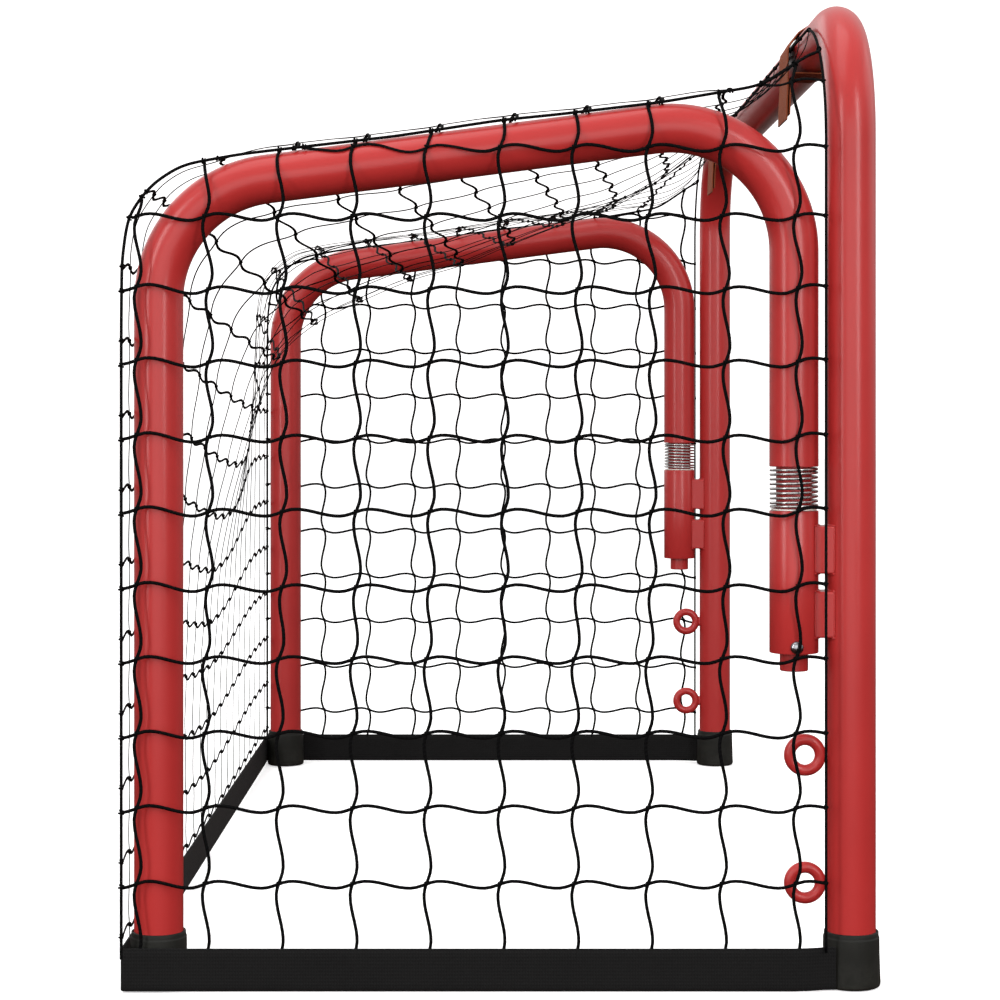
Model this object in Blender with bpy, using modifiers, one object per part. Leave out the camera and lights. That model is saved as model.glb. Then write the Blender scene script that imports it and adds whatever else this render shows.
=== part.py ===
"""Folding hockey goal: bent tube frames, sprung fold hinges, knotted net.

Metres, +Z up.  The origin is under the middle of the goal, on the floor.
The mouth faces -Y, and the width runs along X.  Left is -X.
"""

import math

import bmesh
import bpy
from mathutils import Matrix, Vector

# ---------------------------------------------------------------- dimensions
TUBE_R = 0.015            # outer radius of every frame tube
TUBE_WALL = 0.0012
BEND_R = 0.075            # centreline radius of every bend
BEND_STEPS = 8
TUBE_SIDES_RES = 8        # bevel resolution: 20 sides

POST_X = 0.440            # posts, side frames and hinge axes, both sides
POST_Y = -0.2131
BAR_Z = 0.595             # crossbar axis
TUBE_FOOT_Z = 0.004       # lower end of posts and rear legs, inside the feet

HINGE_Y = POST_Y + 0.035  # fold axis, behind the post
REAR_Y = 0.2104           # rear leg
LEG_END_Z = 0.3170        # open lower end of the side frame's front leg
FRONT_TOP_Z = 0.5342      # where the front leg's line meets the sloping top
REAR_TOP_Z = 0.4843       # where the rear leg's line meets it

SLEEVE_R = 0.015
SLEEVE_BORE_R = 0.0113
SLEEVE_Z0 = 0.2033
SLEEVE_Z1 = 0.2901

ROD_R = 0.011
ROD_HEAD_R = 0.0134
ROD_HEAD_Z0 = 0.3190
ROD_TOP_Z = 0.3480
ROD_STEP_Z = 0.2045       # the rod narrows here
ROD_STUB_R = 0.00875
ROD_BOTTOM_Z = 0.1922
PRESS_TRAVEL = 0.008      # how far the side frame can be pressed down
FOLD_ANGLE = 90.0

WINDOW_Z0 = 0.2046        # window in the rod that the screw's tip runs in
WINDOW_Z1 = 0.2190
WINDOW_FLOOR_R = 0.0066

SCREW_Z = 0.2076
SCREW_HEAD_R = 0.0040
SCREW_SHANK_R = 0.0020
SCREW_HOLE_R = 0.0024
SCREW_TIP_R = 0.0075      # distance of the tip from the fold axis

WASHER_Z0 = 0.2904
WASHER_Z1 = 0.2912
WASHER_R = 0.0140
WASHER_BORE_R = 0.0114

SPRING_WIRE_R = 0.0007
SPRING_MEAN_R = 0.0141
SPRING_Z0 = 0.2922        # centre of the lowest coil
SPRING_Z1 = 0.3160        # centre of the highest coil
SPRING_TURNS = 9.0
SPRING_STEPS = 9          # points a turn

GUSSET_SPANS = {"upper": (0.2520, 0.2809), "lower": (0.2130, 0.2411)}
GUSSET_HALF_X = 0.0102
GUSSET_GRIP = 0.0042      # how far a block reaches over each tube

RING_MAJOR_R = 0.0094
RING_WIRE_R = 0.0035
RING_Y = POST_Y + 0.0283
RING_HEIGHTS = {"lower": 0.0625, "upper": 0.1406}

FOOT_H = 0.0335
FOOT_TOP_R = 0.0166
FOOT_BOTTOM_R = 0.0178
FOOT_BORE_R = 0.0153
FOOT_FLOOR = 0.0035

NET_X = 0.4588            # middle of the side panels
NET_T = 0.0014
NET_REAR_Y = 0.2298
NET_FRONT_Y = POST_Y + 0.0180
NET_FOOT_Z = 0.0275
BORDER_R = 0.00125

STRAP_H = 0.0260          # base webbing
STRAP_T = 0.0014
STRAP_Z0 = 0.0006
STRAP_X = 0.4591
STRAP_REAR_Y = 0.2303

TIE_W = 0.046             # hook-and-loop straps on the crossbar
TIE_X = 0.2680
TIE_T = 0.0010

SIDES = {"left": -1.0, "right": 1.0}

# ---------------------------------------------------------------- fresh start
for old in list(bpy.data.objects):
    bpy.data.objects.remove(old, do_unlink=True)

PARTS = bpy.data.collections.new("hockey_goal")
CUTTERS = bpy.data.collections.new("cutters")
bpy.context.scene.collection.children.link(PARTS)
bpy.context.scene.collection.children.link(CUTTERS)


# ---------------------------------------------------------------- materials
def material(name, colour, roughness, metallic=0.0):
    m = bpy.data.materials.new(name)
    m.use_nodes = True
    b = m.node_tree.nodes["Principled BSDF"]
    b.inputs["Base Color"].default_value = (*colour, 1.0)
    b.inputs["Roughness"].default_value = roughness
    b.inputs["Metallic"].default_value = metallic
    return m


RED = material("red_powder_coat", (0.52, 0.030, 0.035), 0.32)
RUBBER = material("black_rubber", (0.018, 0.018, 0.016), 0.65)
SPRING_STEEL = material("spring_steel", (0.62, 0.61, 0.60), 0.25, 1.0)
SCREW_STEEL = material("screw_steel", (0.70, 0.70, 0.71), 0.18, 1.0)
NYLON = material("nylon", (0.80, 0.79, 0.75), 0.45)
CORD = material("net_cord", (0.008, 0.008, 0.009), 0.75)
WEBBING = material("webbing", (0.012, 0.012, 0.013), 0.80)
TIE = material("red_tie_strap", (0.42, 0.045, 0.030), 0.75)


# ---------------------------------------------------------------- helpers
def put(obj, mat, collection=PARTS):
    for c in list(obj.users_collection):
        c.objects.unlink(obj)
    collection.objects.link(obj)
    if mat is not None:
        obj.data.materials.clear()
        obj.data.materials.append(mat)
    return obj


def smooth(obj, angle=35.0):
    obj.data.shade_smooth()
    obj.data.set_sharp_from_angle(angle=math.radians(angle))
    return obj


def poly_curve(name, points, radius, resolution, mat, closed=False, caps=True):
    """A round wire or tube along straight points."""
    cu = bpy.data.curves.new(name, "CURVE")
    cu.dimensions = "3D"
    cu.bevel_depth = radius
    cu.bevel_resolution = resolution
    cu.use_fill_caps = caps
    sp = cu.splines.new("POLY")
    sp.points.add(len(points) - 1)
    for p, co in zip(sp.points, points):
        p.co = (*co, 1.0)
    sp.use_cyclic_u = closed
    obj = bpy.data.objects.new(name, cu)
    return put(obj, mat)


def as_mesh(obj):
    """The evaluated curve as a mesh object with welded points."""
    deps = bpy.context.evaluated_depsgraph_get()
    deps.update()
    me = bpy.data.meshes.new_from_object(obj.evaluated_get(deps))
    bm = bmesh.new()
    bm.from_mesh(me)
    bmesh.ops.remove_doubles(bm, verts=bm.verts, dist=0.00001)
    bmesh.ops.recalc_face_normals(bm, faces=bm.faces)
    bm.to_mesh(me)
    bm.free()
    name, mat = obj.name, obj.data.materials[0] if obj.data.materials else None
    new = bpy.data.objects.new(name + "_mesh", me)
    new.matrix_world = obj.matrix_world
    bpy.data.objects.remove(obj, do_unlink=True)
    new.name = name
    me.name = name
    return put(new, mat)


def fillet(points, radius, steps):
    """Corner points of a path, each inner corner turned into an arc."""
    pts = [Vector(p) for p in points]
    out = [pts[0]]
    for a, b, c in zip(pts, pts[1:], pts[2:]):
        u, v = (a - b).normalized(), (c - b).normalized()
        half = u.angle(v) / 2.0
        reach = radius / math.tan(half)
        start, end = b + u * reach, b + v * reach
        centre = b + (u + v).normalized() * (radius / math.sin(half))
        turn = math.pi - 2.0 * half
        axis = (start - centre).cross(end - centre).normalized()
        for k in range(steps + 1):
            rot = Matrix.Rotation(turn * k / steps, 3, axis)
            out.append(centre + rot @ (start - centre))
    out.append(pts[-1])
    return out


def hollow_tube(name, points, mat):
    """A tube with open ends: an open skin on the centreline, thickened inwards."""
    obj = as_mesh(poly_curve(name, points, TUBE_R, TUBE_SIDES_RES, mat, caps=False))
    bm = bmesh.new()
    bm.from_mesh(obj.data)
    # faces look away from the centreline
    bm.faces.ensure_lookup_table()
    f = bm.faces[0]
    c = f.calc_center_median()
    near = min(points, key=lambda p: (Vector(p) - c).length)
    if f.normal.dot(c - Vector(near)) < 0:
        bmesh.ops.reverse_faces(bm, faces=bm.faces)
    bm.to_mesh(obj.data)
    bm.free()
    mod = obj.modifiers.new("wall", "SOLIDIFY")
    mod.thickness = TUBE_WALL
    mod.offset = -1.0
    mod.use_even_offset = True
    return smooth(obj, 30.0)


def turned(name, profile, mat, sides=24, origin=(0, 0, 0), closed=True):
    """A turned piece: a profile of (radius, z) run down its outer side."""
    bm = bmesh.new()
    vs = [bm.verts.new((r, 0.0, z)) for r, z in profile]
    for a, b in zip(vs, vs[1:]):
        bm.edges.new((a, b))
    if closed:
        bm.edges.new((vs[-1], vs[0]))
    me = bpy.data.meshes.new(name)
    bm.to_mesh(me)
    bm.free()
    obj = bpy.data.objects.new(name, me)
    obj.location = origin
    put(obj, mat)
    mod = obj.modifiers.new("turn", "SCREW")
    mod.axis = "Z"
    mod.angle = 2.0 * math.pi
    mod.steps = sides
    mod.render_steps = sides
    mod.use_merge_vertices = True
    mod.merge_threshold = 0.00001
    mod.use_smooth_shade = True
    return obj


def block(name, size, centre, mat, bevel=0.0, segments=2):
    bm = bmesh.new()
    bmesh.ops.create_cube(bm, size=1.0)
    bmesh.ops.scale(bm, vec=size, verts=bm.verts)
    me = bpy.data.meshes.new(name)
    bm.to_mesh(me)
    bm.free()
    obj = bpy.data.objects.new(name, me)
    obj.location = centre
    put(obj, mat)
    if bevel:
        mod = obj.modifiers.new("edges", "BEVEL")
        mod.width = bevel
        mod.segments = segments
        mod.limit_method = "ANGLE"
    return obj


def cutter(name, radius, depth, centre, axis="Z", sides=24):
    bm = bmesh.new()
    bmesh.ops.create_cone(
        bm, cap_ends=True, segments=sides, radius1=radius, radius2=radius, depth=depth
    )
    me = bpy.data.meshes.new(name)
    bm.to_mesh(me)
    bm.free()
    obj = bpy.data.objects.new(name, me)
    obj.location = centre
    if axis == "X":
        obj.rotation_euler = (0.0, math.radians(90.0), 0.0)
    put(obj, None, CUTTERS)
    obj.hide_render = True
    obj.display_type = "WIRE"
    return obj


def cut(obj, tool):
    mod = obj.modifiers.new("cut_" + tool.name, "BOOLEAN")
    mod.operation = "DIFFERENCE"
    mod.solver = "EXACT"
    mod.object = tool
    return obj


def ribbon(name, path, direction, width, thickness, mat, centre_on=None):
    """A strap: an open path swept along one direction, then thickened evenly."""
    d = Vector(direction) * (width / 2.0)
    bm = bmesh.new()
    low = [bm.verts.new(Vector(p) - d) for p in path]
    edges = [bm.edges.new((a, b)) for a, b in zip(low, low[1:])]
    made = bmesh.ops.extrude_edge_only(bm, edges=edges)
    top = [g for g in made["geom"] if isinstance(g, bmesh.types.BMVert)]
    bmesh.ops.translate(bm, vec=d * 2.0, verts=top)
    bmesh.ops.recalc_face_normals(bm, faces=bm.faces)
    me = bpy.data.meshes.new(name)
    bm.to_mesh(me)
    bm.free()
    obj = bpy.data.objects.new(name, me)
    if centre_on is not None:
        obj.location = centre_on
        me.transform(Matrix.Translation(-Vector(centre_on)))
    put(obj, mat)
    mod = obj.modifiers.new("thickness", "SOLIDIFY")
    mod.thickness = thickness
    mod.offset = 0.0
    mod.use_even_offset = True
    return obj


def empty(name, location, parent=None):
    e = bpy.data.objects.new(name, None)
    e.location = location
    e.empty_display_size = 0.03
    PARTS.objects.link(e)
    if parent is not None:
        e.parent = parent
        e.location = Vector(location) - Vector(parent["home"])
    e["home"] = tuple(location)
    return e


def hang(obj, parent):
    """Parent a piece and keep it where it stands in the world."""
    obj.location = obj.location - Vector(parent["home"])
    obj.parent = parent
    return obj


# ---------------------------------------------------------------- front frame
bar = fillet(
    [
        (-POST_X, POST_Y, TUBE_FOOT_Z),
        (-POST_X, POST_Y, BAR_Z),
        (POST_X, POST_Y, BAR_Z),
        (POST_X, POST_Y, TUBE_FOOT_Z),
    ],
    BEND_R,
    BEND_STEPS,
)
hollow_tube("front_frame_tube", bar, RED)


# ---------------------------------------------------------------- feet
def foot(name, x, y, parent=None):
    """A rubber cup: wide tapered wall, solid floor, rounded lower edge."""
    profile = [
        (FOOT_BORE_R, FOOT_H),
        (FOOT_TOP_R - 0.0004, FOOT_H),
        (FOOT_TOP_R, FOOT_H - 0.0004),
        (FOOT_BOTTOM_R, 0.0022),
        (FOOT_BOTTOM_R - 0.0006, 0.0007),
        (FOOT_BOTTOM_R - 0.0022, 0.0),
        (0.0, 0.0),
        (0.0, FOOT_FLOOR),
        (FOOT_BORE_R, FOOT_FLOOR),
    ]
    obj = turned(name, profile, RUBBER, origin=(x, y, 0.0))
    if parent is not None:
        hang(obj, parent)
    return obj


# ---------------------------------------------------------------- both sides
for side, s in SIDES.items():
    x = s * POST_X

    foot(side + "_post_foot", x, POST_Y)

    # -- fixed half of the fold hinge
    sleeve = turned(
        side + "_hinge_sleeve",
        [
            (SLEEVE_BORE_R, SLEEVE_Z1),
            (SLEEVE_R - 0.0003, SLEEVE_Z1),
            (SLEEVE_R, SLEEVE_Z1 - 0.0003),
            (SLEEVE_R, SLEEVE_Z0 + 0.0003),
            (SLEEVE_R - 0.0003, SLEEVE_Z0),
            (SLEEVE_BORE_R, SLEEVE_Z0),
        ],
        RED,
        origin=(x, HINGE_Y, 0.0),
    )
    hole = cutter(
        side + "_screw_hole", SCREW_HOLE_R, 0.012, (x + s * 0.0132, HINGE_Y, SCREW_Z), "X", 16
    )
    cut(sleeve, hole)

    for level, (z0, z1) in GUSSET_SPANS.items():
        y0 = POST_Y + TUBE_R - GUSSET_GRIP
        y1 = HINGE_Y - SLEEVE_R + GUSSET_GRIP
        weld = block(
            "%s_%s_weld_block" % (side, level),
            (2 * GUSSET_HALF_X, y1 - y0, z1 - z0),
            (x, (y0 + y1) / 2, (z0 + z1) / 2),
            RED,
            bevel=0.0010,
        )
        for word, cy in (("post", POST_Y), ("sleeve", HINGE_Y)):
            tool = cutter(
                "%s_%s_%s_clearance" % (side, level, word),
                TUBE_R + 0.0003,
                0.06,
                (x, cy, (z0 + z1) / 2),
                sides=48,
            )
            cut(weld, tool)

    # -- domed screw: its tip runs in the rod's window
    screw = turned(
        side + "_retaining_screw",
        [
            (0.0, 0.0177),
            (0.0016, 0.0176),
            (0.0029, 0.0171),
            (0.0037, 0.0163),
            (SCREW_HEAD_R, 0.0155),
            (SCREW_HEAD_R, 0.01532),
            (SCREW_SHANK_R, 0.01532),
            (SCREW_SHANK_R, SCREW_TIP_R + 0.0004),
            (SCREW_SHANK_R - 0.0004, SCREW_TIP_R),
            (0.0, SCREW_TIP_R),
        ],
        SCREW_STEEL,
        sides=16,
        origin=(x, HINGE_Y, SCREW_Z),
        closed=False,
    )
    screw.rotation_euler = (0.0, math.radians(90.0 * s), 0.0)

    # -- welded eyelets for the lacing
    for level, z in RING_HEIGHTS.items():
        bpy.ops.mesh.primitive_torus_add(
            major_segments=20,
            minor_segments=8,
            major_radius=RING_MAJOR_R,
            minor_radius=RING_WIRE_R,
            location=(x, RING_Y, z),
            rotation=(0.0, math.radians(90.0), 0.0),
        )
        ring = bpy.context.object
        ring.name = "%s_%s_eyelet_ring" % (side, level)
        ring.data.name = ring.name
        put(ring, RED)
        ring.data.shade_smooth()

    # -- everything from here turns about the fold axis
    fold = empty(side + "_fold_axis", (x, HINGE_Y, SLEEVE_Z1))
    washer = turned(
        side + "_thrust_washer",
        [
            (WASHER_BORE_R, WASHER_Z1),
            (WASHER_R, WASHER_Z1),
            (WASHER_R, WASHER_Z0),
            (WASHER_BORE_R, WASHER_Z0),
        ],
        NYLON,
        origin=(x, HINGE_Y, 0.0),
    )
    hang(washer, fold)

    # spring: closed end turns, open middle
    coil = []
    count = int(SPRING_TURNS * SPRING_STEPS)
    for k in range(count + 1):
        t = k / count
        turn = SPRING_TURNS * t
        dead = 0.9
        rise = SPRING_TURNS - 2.0 * dead
        ends = 2.0 * dead * 0.00165
        pitch = (SPRING_Z1 - SPRING_Z0 - ends) / rise
        if turn < dead:
            z = 0.00165 * turn
        elif turn > SPRING_TURNS - dead:
            z = SPRING_Z1 - SPRING_Z0 - 0.00165 * (SPRING_TURNS - turn)
        else:
            z = 0.00165 * dead + pitch * (turn - dead)
        a = 2.0 * math.pi * turn * -s
        coil.append((SPRING_MEAN_R * math.cos(a), SPRING_MEAN_R * math.sin(a), SPRING_Z0 + z))
    spring = poly_curve(side + "_hinge_spring", coil, SPRING_WIRE_R, 2, SPRING_STEEL)
    spring.location = (x, HINGE_Y, 0.0)
    hang(spring, fold)

    # -- the side frame also slides down along the same axis
    press = empty(side + "_press_axis", (x, HINGE_Y, LEG_END_Z), parent=fold)

    legs = fillet(
        [
            (0.0, 0.0, LEG_END_Z),
            (0.0, 0.0, FRONT_TOP_Z),
            (0.0, REAR_Y - HINGE_Y, REAR_TOP_Z),
            (0.0, REAR_Y - HINGE_Y, TUBE_FOOT_Z),
        ],
        BEND_R,
        BEND_STEPS,
    )
    frame = hollow_tube(side + "_side_frame_tube", legs, RED)
    frame.location = (x, HINGE_Y, 0.0)
    hang(frame, press)

    rod = turned(
        side + "_hinge_rod",
        [
            (0.0, ROD_TOP_Z),
            (ROD_HEAD_R - 0.0010, ROD_TOP_Z),
            (ROD_HEAD_R, ROD_TOP_Z - 0.0010),
            (ROD_HEAD_R, ROD_HEAD_Z0),
            (ROD_R, ROD_HEAD_Z0),
            (ROD_R, ROD_STEP_Z - 0.0006),
            (ROD_R - 0.0006, ROD_STEP_Z - 0.0012),
            (ROD_STUB_R, ROD_STEP_Z - 0.0012),
            (ROD_STUB_R, ROD_BOTTOM_Z + 0.0006),
            (ROD_STUB_R - 0.0006, ROD_BOTTOM_Z),
            (0.0, ROD_BOTTOM_Z),
        ],
        RED,
        origin=(x, HINGE_Y, 0.0),
        closed=False,
    )
    # the window: a ring sector that lets the frame turn by its fold angle only
    bm = bmesh.new()
    mid = (WINDOW_Z0 + WINDOW_Z1) / 2
    quad = [
        bm.verts.new((WINDOW_FLOOR_R, 0.0, WINDOW_Z0)),
        bm.verts.new((0.0125, 0.0, WINDOW_Z0)),
        bm.verts.new((0.0125, 0.0, WINDOW_Z1)),
        bm.verts.new((WINDOW_FLOOR_R, 0.0, WINDOW_Z1)),
    ]
    face = bm.faces.new(quad)
    spare = math.radians(17.0)
    sweep = math.radians(FOLD_ANGLE) + 2.0 * spare
    made = bmesh.ops.spin(
        bm,
        geom=[face],
        cent=(0.0, 0.0, 0.0),
        axis=(0.0, 0.0, 1.0),
        dvec=(0.0, 0.0, 0.0),
        angle=sweep,
        steps=12,
        use_duplicate=False,
    )
    bmesh.ops.recalc_face_normals(bm, faces=bm.faces)
    me = bpy.data.meshes.new(side + "_rod_window")
    bm.to_mesh(me)
    bm.free()
    window = bpy.data.objects.new(side + "_rod_window", me)
    window.location = (x, HINGE_Y, 0.0)
    # the screw points along s*X; in the rod it travels s*-90 degrees from there
    start = math.radians(180.0) - spare if s < 0 else -math.radians(FOLD_ANGLE) - spare
    window.rotation_euler = (0.0, 0.0, start)
    put(window, None, CUTTERS)
    window.hide_render = True
    window.display_type = "WIRE"
    hang(window, press)
    cut(rod, window)
    hang(rod, press)

    foot(side + "_rear_foot", x, REAR_Y, parent=press)

# ---------------------------------------------------------------- crossbar straps
# path in YZ about the crossbar: up the tail's inner layer, round the bar and the
# border cord, and down the outer layer
wrap = TUBE_R + 0.0011 + TIE_T / 2
tie_path = [(-0.19440, 0.5510), (-0.19480, 0.5620), (-0.19550, 0.5720), (-0.19820, 0.5788)]
for k in range(0, 16):
    a = math.radians(-78.0 - k * 14.2)
    tie_path.append((POST_Y + wrap * math.cos(a), BAR_Z + wrap * math.sin(a)))
tie_path += [
    (-0.20020, 0.60740),
    (-0.19580, 0.60240),
    (-0.19330, 0.59450),
    (-0.19320, 0.58500),
    (-0.19330, 0.57550),
    (-0.19280, 0.56200),
    (-0.19240, 0.54740),
]
for side, s in SIDES.items():
    tie = ribbon(
        side + "_crossbar_strap",
        [(s * TIE_X, y, z) for y, z in tie_path],
        (1.0, 0.0, 0.0),
        TIE_W,
        TIE_T,
        TIE,
        centre_on=(s * TIE_X, POST_Y, BAR_Z),
    )
    smooth(tie, 40.0)


# ---------------------------------------------------------------- net
def slab(name, outline, thickness, mat, plane):
    """A flat panel from its outline, as a filled 2D curve with some depth."""
    cu = bpy.data.curves.new(name, "CURVE")
    cu.dimensions = "2D"
    cu.fill_mode = "BOTH"
    cu.extrude = thickness / 2.0
    sp = cu.splines.new("POLY")
    sp.points.add(len(outline) - 1)
    for p, (u, v) in zip(sp.points, outline):
        p.co = (u, v, 0.0, 1.0)
    sp.use_cyclic_u = True
    obj = bpy.data.objects.new(name, cu)
    obj.matrix_world = plane
    put(obj, mat)
    return as_mesh(obj)


# profile of the top and rear over the side frames, from the mouth back and down
SLOPE = (REAR_TOP_Z - FRONT_TOP_Z) / (REAR_Y - HINGE_Y)


def over_frame(y, lift):
    """Height of a line above the side frame's sloping top."""
    return FRONT_TOP_Z + SLOPE * (y - HINGE_Y) + lift / math.cos(math.atan(SLOPE))


LIFT = TUBE_R + 0.0012
top_line = [(-0.1795, 0.5880), (-0.1580, 0.5570), (-0.1360, over_frame(-0.1360, LIFT + 0.002))]
rear_line_y = NET_REAR_Y
corner = (rear_line_y, over_frame(rear_line_y, LIFT))
back = fillet(
    [(0.0, -0.10, over_frame(-0.10, LIFT)), (0.0, *corner), (0.0, rear_line_y, 0.30)],
    BEND_R + LIFT + 0.002,
    6,
)
arc = [(p.y, p.z) for p in back[1:-1]]
top_profile = top_line + arc

# Between the side frames nothing holds the net up, so it hangs in a shallow
# trough: (y, z) of its line at mid width, one entry for each row of meshes.
MID_LINE = [
    (0.2298, 0.0300), (0.2306, 0.0660), (0.2306, 0.1040), (0.2306, 0.1470), (0.2290, 0.1830),
    (0.2262, 0.2244), (0.2190, 0.2660), (0.2090, 0.3070), (0.1960, 0.3520), (0.1790, 0.3920),
    (0.1485, 0.4195), (0.1120, 0.4375), (0.0720, 0.4545), (0.0305, 0.4690), (-0.0100, 0.4850),
    (-0.0505, 0.5010), (-0.0910, 0.5160), (-0.1310, 0.5380), (-0.1670, 0.5670), (-0.1860, 0.5850),
]
# the same rows where the side frames carry the net
EDGE_LINE = [(rear_line_y, 0.0336 + 0.045 * k) for k in range(10)]
EDGE_LINE += [(0.2151, 0.4858), (0.1730, 0.5035), (0.1270, 0.5100)]
EDGE_LINE += [(y, over_frame(y, LIFT)) for y in (0.0833, 0.0387, -0.0071, -0.0516, -0.0960)]
EDGE_LINE += [(-0.1360, over_frame(-0.1360, LIFT + 0.002)), (-0.1795, 0.5880)]
slope_end = (back[1].y, back[1].z)
NET_STATIONS = [0.0, 0.04, 0.08, 0.12, 0.16, 0.20, 0.24, 0.28, 0.32, 0.36, 0.41, NET_X - 0.0018]


def row_of(y, z):
    """Which row, as a fraction, a point of the edge line lies on."""
    best = (1e9, 0.0)
    for k, (a, b) in enumerate(zip(EDGE_LINE, EDGE_LINE[1:])):
        ab, ap = (b[0] - a[0], b[1] - a[1]), (y - a[0], z - a[1])
        t = max(0.0, min(1.0, (ab[0] * ap[0] + ab[1] * ap[1]) / (ab[0] ** 2 + ab[1] ** 2)))
        d = math.hypot(ap[0] - t * ab[0], ap[1] - t * ab[1])
        best = min(best, (d, k + t))
    return best[1]


def mid_at(row):
    k = min(int(row), len(MID_LINE) - 2)
    t = min(row - k, 1.0)
    return tuple(a + (b - a) * t for a, b in zip(MID_LINE[k], MID_LINE[k + 1]))


SWEEP_GAP = 0.0028         # room left between the sagged net and that path


def swept_top(y):
    """Height just over the side frame at y, down round its rear bend."""
    if y < slope_end[0]:
        return over_frame(y, LIFT) + SWEEP_GAP
    for (ya, za), (yb, zb) in zip([slope_end] + arc, arc):
        if ya <= y <= yb and yb > ya:
            return za + (zb - za) * (y - ya) / (yb - ya) + SWEEP_GAP
    return 0.0


def hung_panel(name, edge, thick, home):
    """A thin closed skin lofted from the edge line to the sagging middle."""
    xs = [-x for x in reversed(NET_STATIONS[1:])] + NET_STATIONS
    bm = bmesh.new()
    layers = []
    for way in (-0.5, 0.5):
        grid = []
        for y, z in edge:
            my, mz = mid_at(row_of(y, z))
            row = []
            for x in xs:
                r = abs(x) / NET_X
                m = 0.5 * (1.0 + math.cos(math.pi * r / 0.82)) if r < 0.82 else 0.0
                p = Vector((x, y + (my - y) * m, z + (mz - z) * m))
                # it stays above the path that the side frame's top sweeps
                reach = math.hypot(POST_X - abs(x), p.y - HINGE_Y)
                if m > 0.0 and z > 0.42:
                    p.z = max(p.z, swept_top(HINGE_Y + reach))
                row.append(bm.verts.new(p + Vector(thick) * way - Vector(home)))
            grid.append(row)
        layers.append(grid)
    low, high = layers
    n, k = len(edge), len(xs)
    for grid in layers:
        for i in range(n - 1):
            for j in range(k - 1):
                bm.faces.new((grid[i][j], grid[i][j + 1], grid[i + 1][j + 1], grid[i + 1][j]))
    for i in range(n - 1):
        for j in (0, k - 1):
            bm.faces.new((low[i][j], low[i + 1][j], high[i + 1][j], high[i][j]))
    for j in range(k - 1):
        for i in (0, n - 1):
            bm.faces.new((low[i][j], low[i][j + 1], high[i][j + 1], high[i][j]))
    bmesh.ops.triangulate(bm, faces=bm.faces)
    bmesh.ops.recalc_face_normals(bm, faces=bm.faces)
    me = bpy.data.meshes.new(name)
    bm.to_mesh(me)
    bm.free()
    obj = bpy.data.objects.new(name, me)
    obj.location = home
    return put(obj, CORD)


slope_rows = [(y, over_frame(y, LIFT)) for y in (-0.0960, -0.0730, -0.0516, -0.0290, -0.0071, 0.0160, 0.0387, 0.0610, 0.0833, 0.1050)]
slope_rows = [r for r in slope_rows if r[0] < slope_end[0] - 0.008]
bend_rows = [arc[0]]
for a, b in zip(arc, arc[1:]):
    bend_rows += [((a[0] + b[0]) / 2, (a[1] + b[1]) / 2), b]
hung_panel("top_net_panel", top_line + slope_rows + bend_rows, (0.0, NET_T, NET_T), (0.0, 0.0, 0.55))

rear_top = arc[-1][1] - 0.0025
rear_rows = [(rear_line_y, z) for z in (NET_FOOT_Z, 0.1236, 0.2136, 0.3036, 0.3600, rear_top)]
hung_panel("rear_net_panel", rear_rows, (0.0, NET_T, 0.0), (0.0, rear_line_y, 0.25))

side_outline = [(NET_FRONT_Y + 0.0030, NET_FOOT_Z), (rear_line_y, NET_FOOT_Z)]
side_outline += [(y - 0.0002, z) for y, z in reversed(arc)]
side_outline += [(y, z) for y, z in reversed(top_line)]
side_outline += [(NET_FRONT_Y + 0.0030, 0.5890)]
for side, s in SIDES.items():
    slab(
        side + "_net_panel",
        side_outline,
        NET_T,
        CORD,
        Matrix.Translation((s * NET_X, 0.0, 0.0))
        @ Matrix.Rotation(math.radians(90.0), 4, "Z")
        @ Matrix.Rotation(math.radians(90.0), 4, "X"),
    )

# border cord along the posts and the crossbar
edge = [(-NET_X, NET_FRONT_Y, NET_FOOT_Z), (-NET_X, NET_FRONT_Y, 0.5150)]
for k in range(1, 7):
    a = math.radians(90.0) * k / 6
    reach_x = NET_X - (POST_X - BEND_R)
    edge.append(
        (
            -(POST_X - BEND_R) - reach_x * math.cos(a),
            NET_FRONT_Y,
            0.5150 + (BAR_Z - 0.0005 - 0.5150) * math.sin(a),
        )
    )
edge += [(-px, py, pz) for px, py, pz in reversed(edge)]
poly_curve("net_border_cord", edge, BORDER_R, 2, CORD)

# ---------------------------------------------------------------- base webbing
end_angle = math.radians(128.0)
foot_reach = FOOT_BOTTOM_R + 0.0003 + STRAP_T / 2
path = [
    (-(POST_X + foot_reach * math.sin(end_angle)), POST_Y - foot_reach * math.cos(end_angle)),
    (-0.4556, POST_Y + 0.0190),
    (-0.4578, POST_Y + 0.0270),
    (-STRAP_X, POST_Y + 0.0370),
    (-STRAP_X, 0.0),
    (-STRAP_X, STRAP_REAR_Y - 0.0020),
    (-STRAP_X + 0.0006, STRAP_REAR_Y - 0.0006),
    (-STRAP_X + 0.0020, STRAP_REAR_Y),
    (-0.15, STRAP_REAR_Y),
]
path += [(-px, py) for px, py in reversed(path)]
ribbon(
    "base_strap",
    [(px, py, STRAP_Z0 + STRAP_H / 2) for px, py in path],
    (0.0, 0.0, 1.0),
    STRAP_H,
    STRAP_T,
    WEBBING,
    centre_on=(0.0, 0.0, STRAP_Z0 + STRAP_H / 2),
)

bpy.context.view_layer.update()
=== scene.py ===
import math

import bmesh
import bpy
import numpy as np
from mathutils import Matrix, Vector


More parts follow.
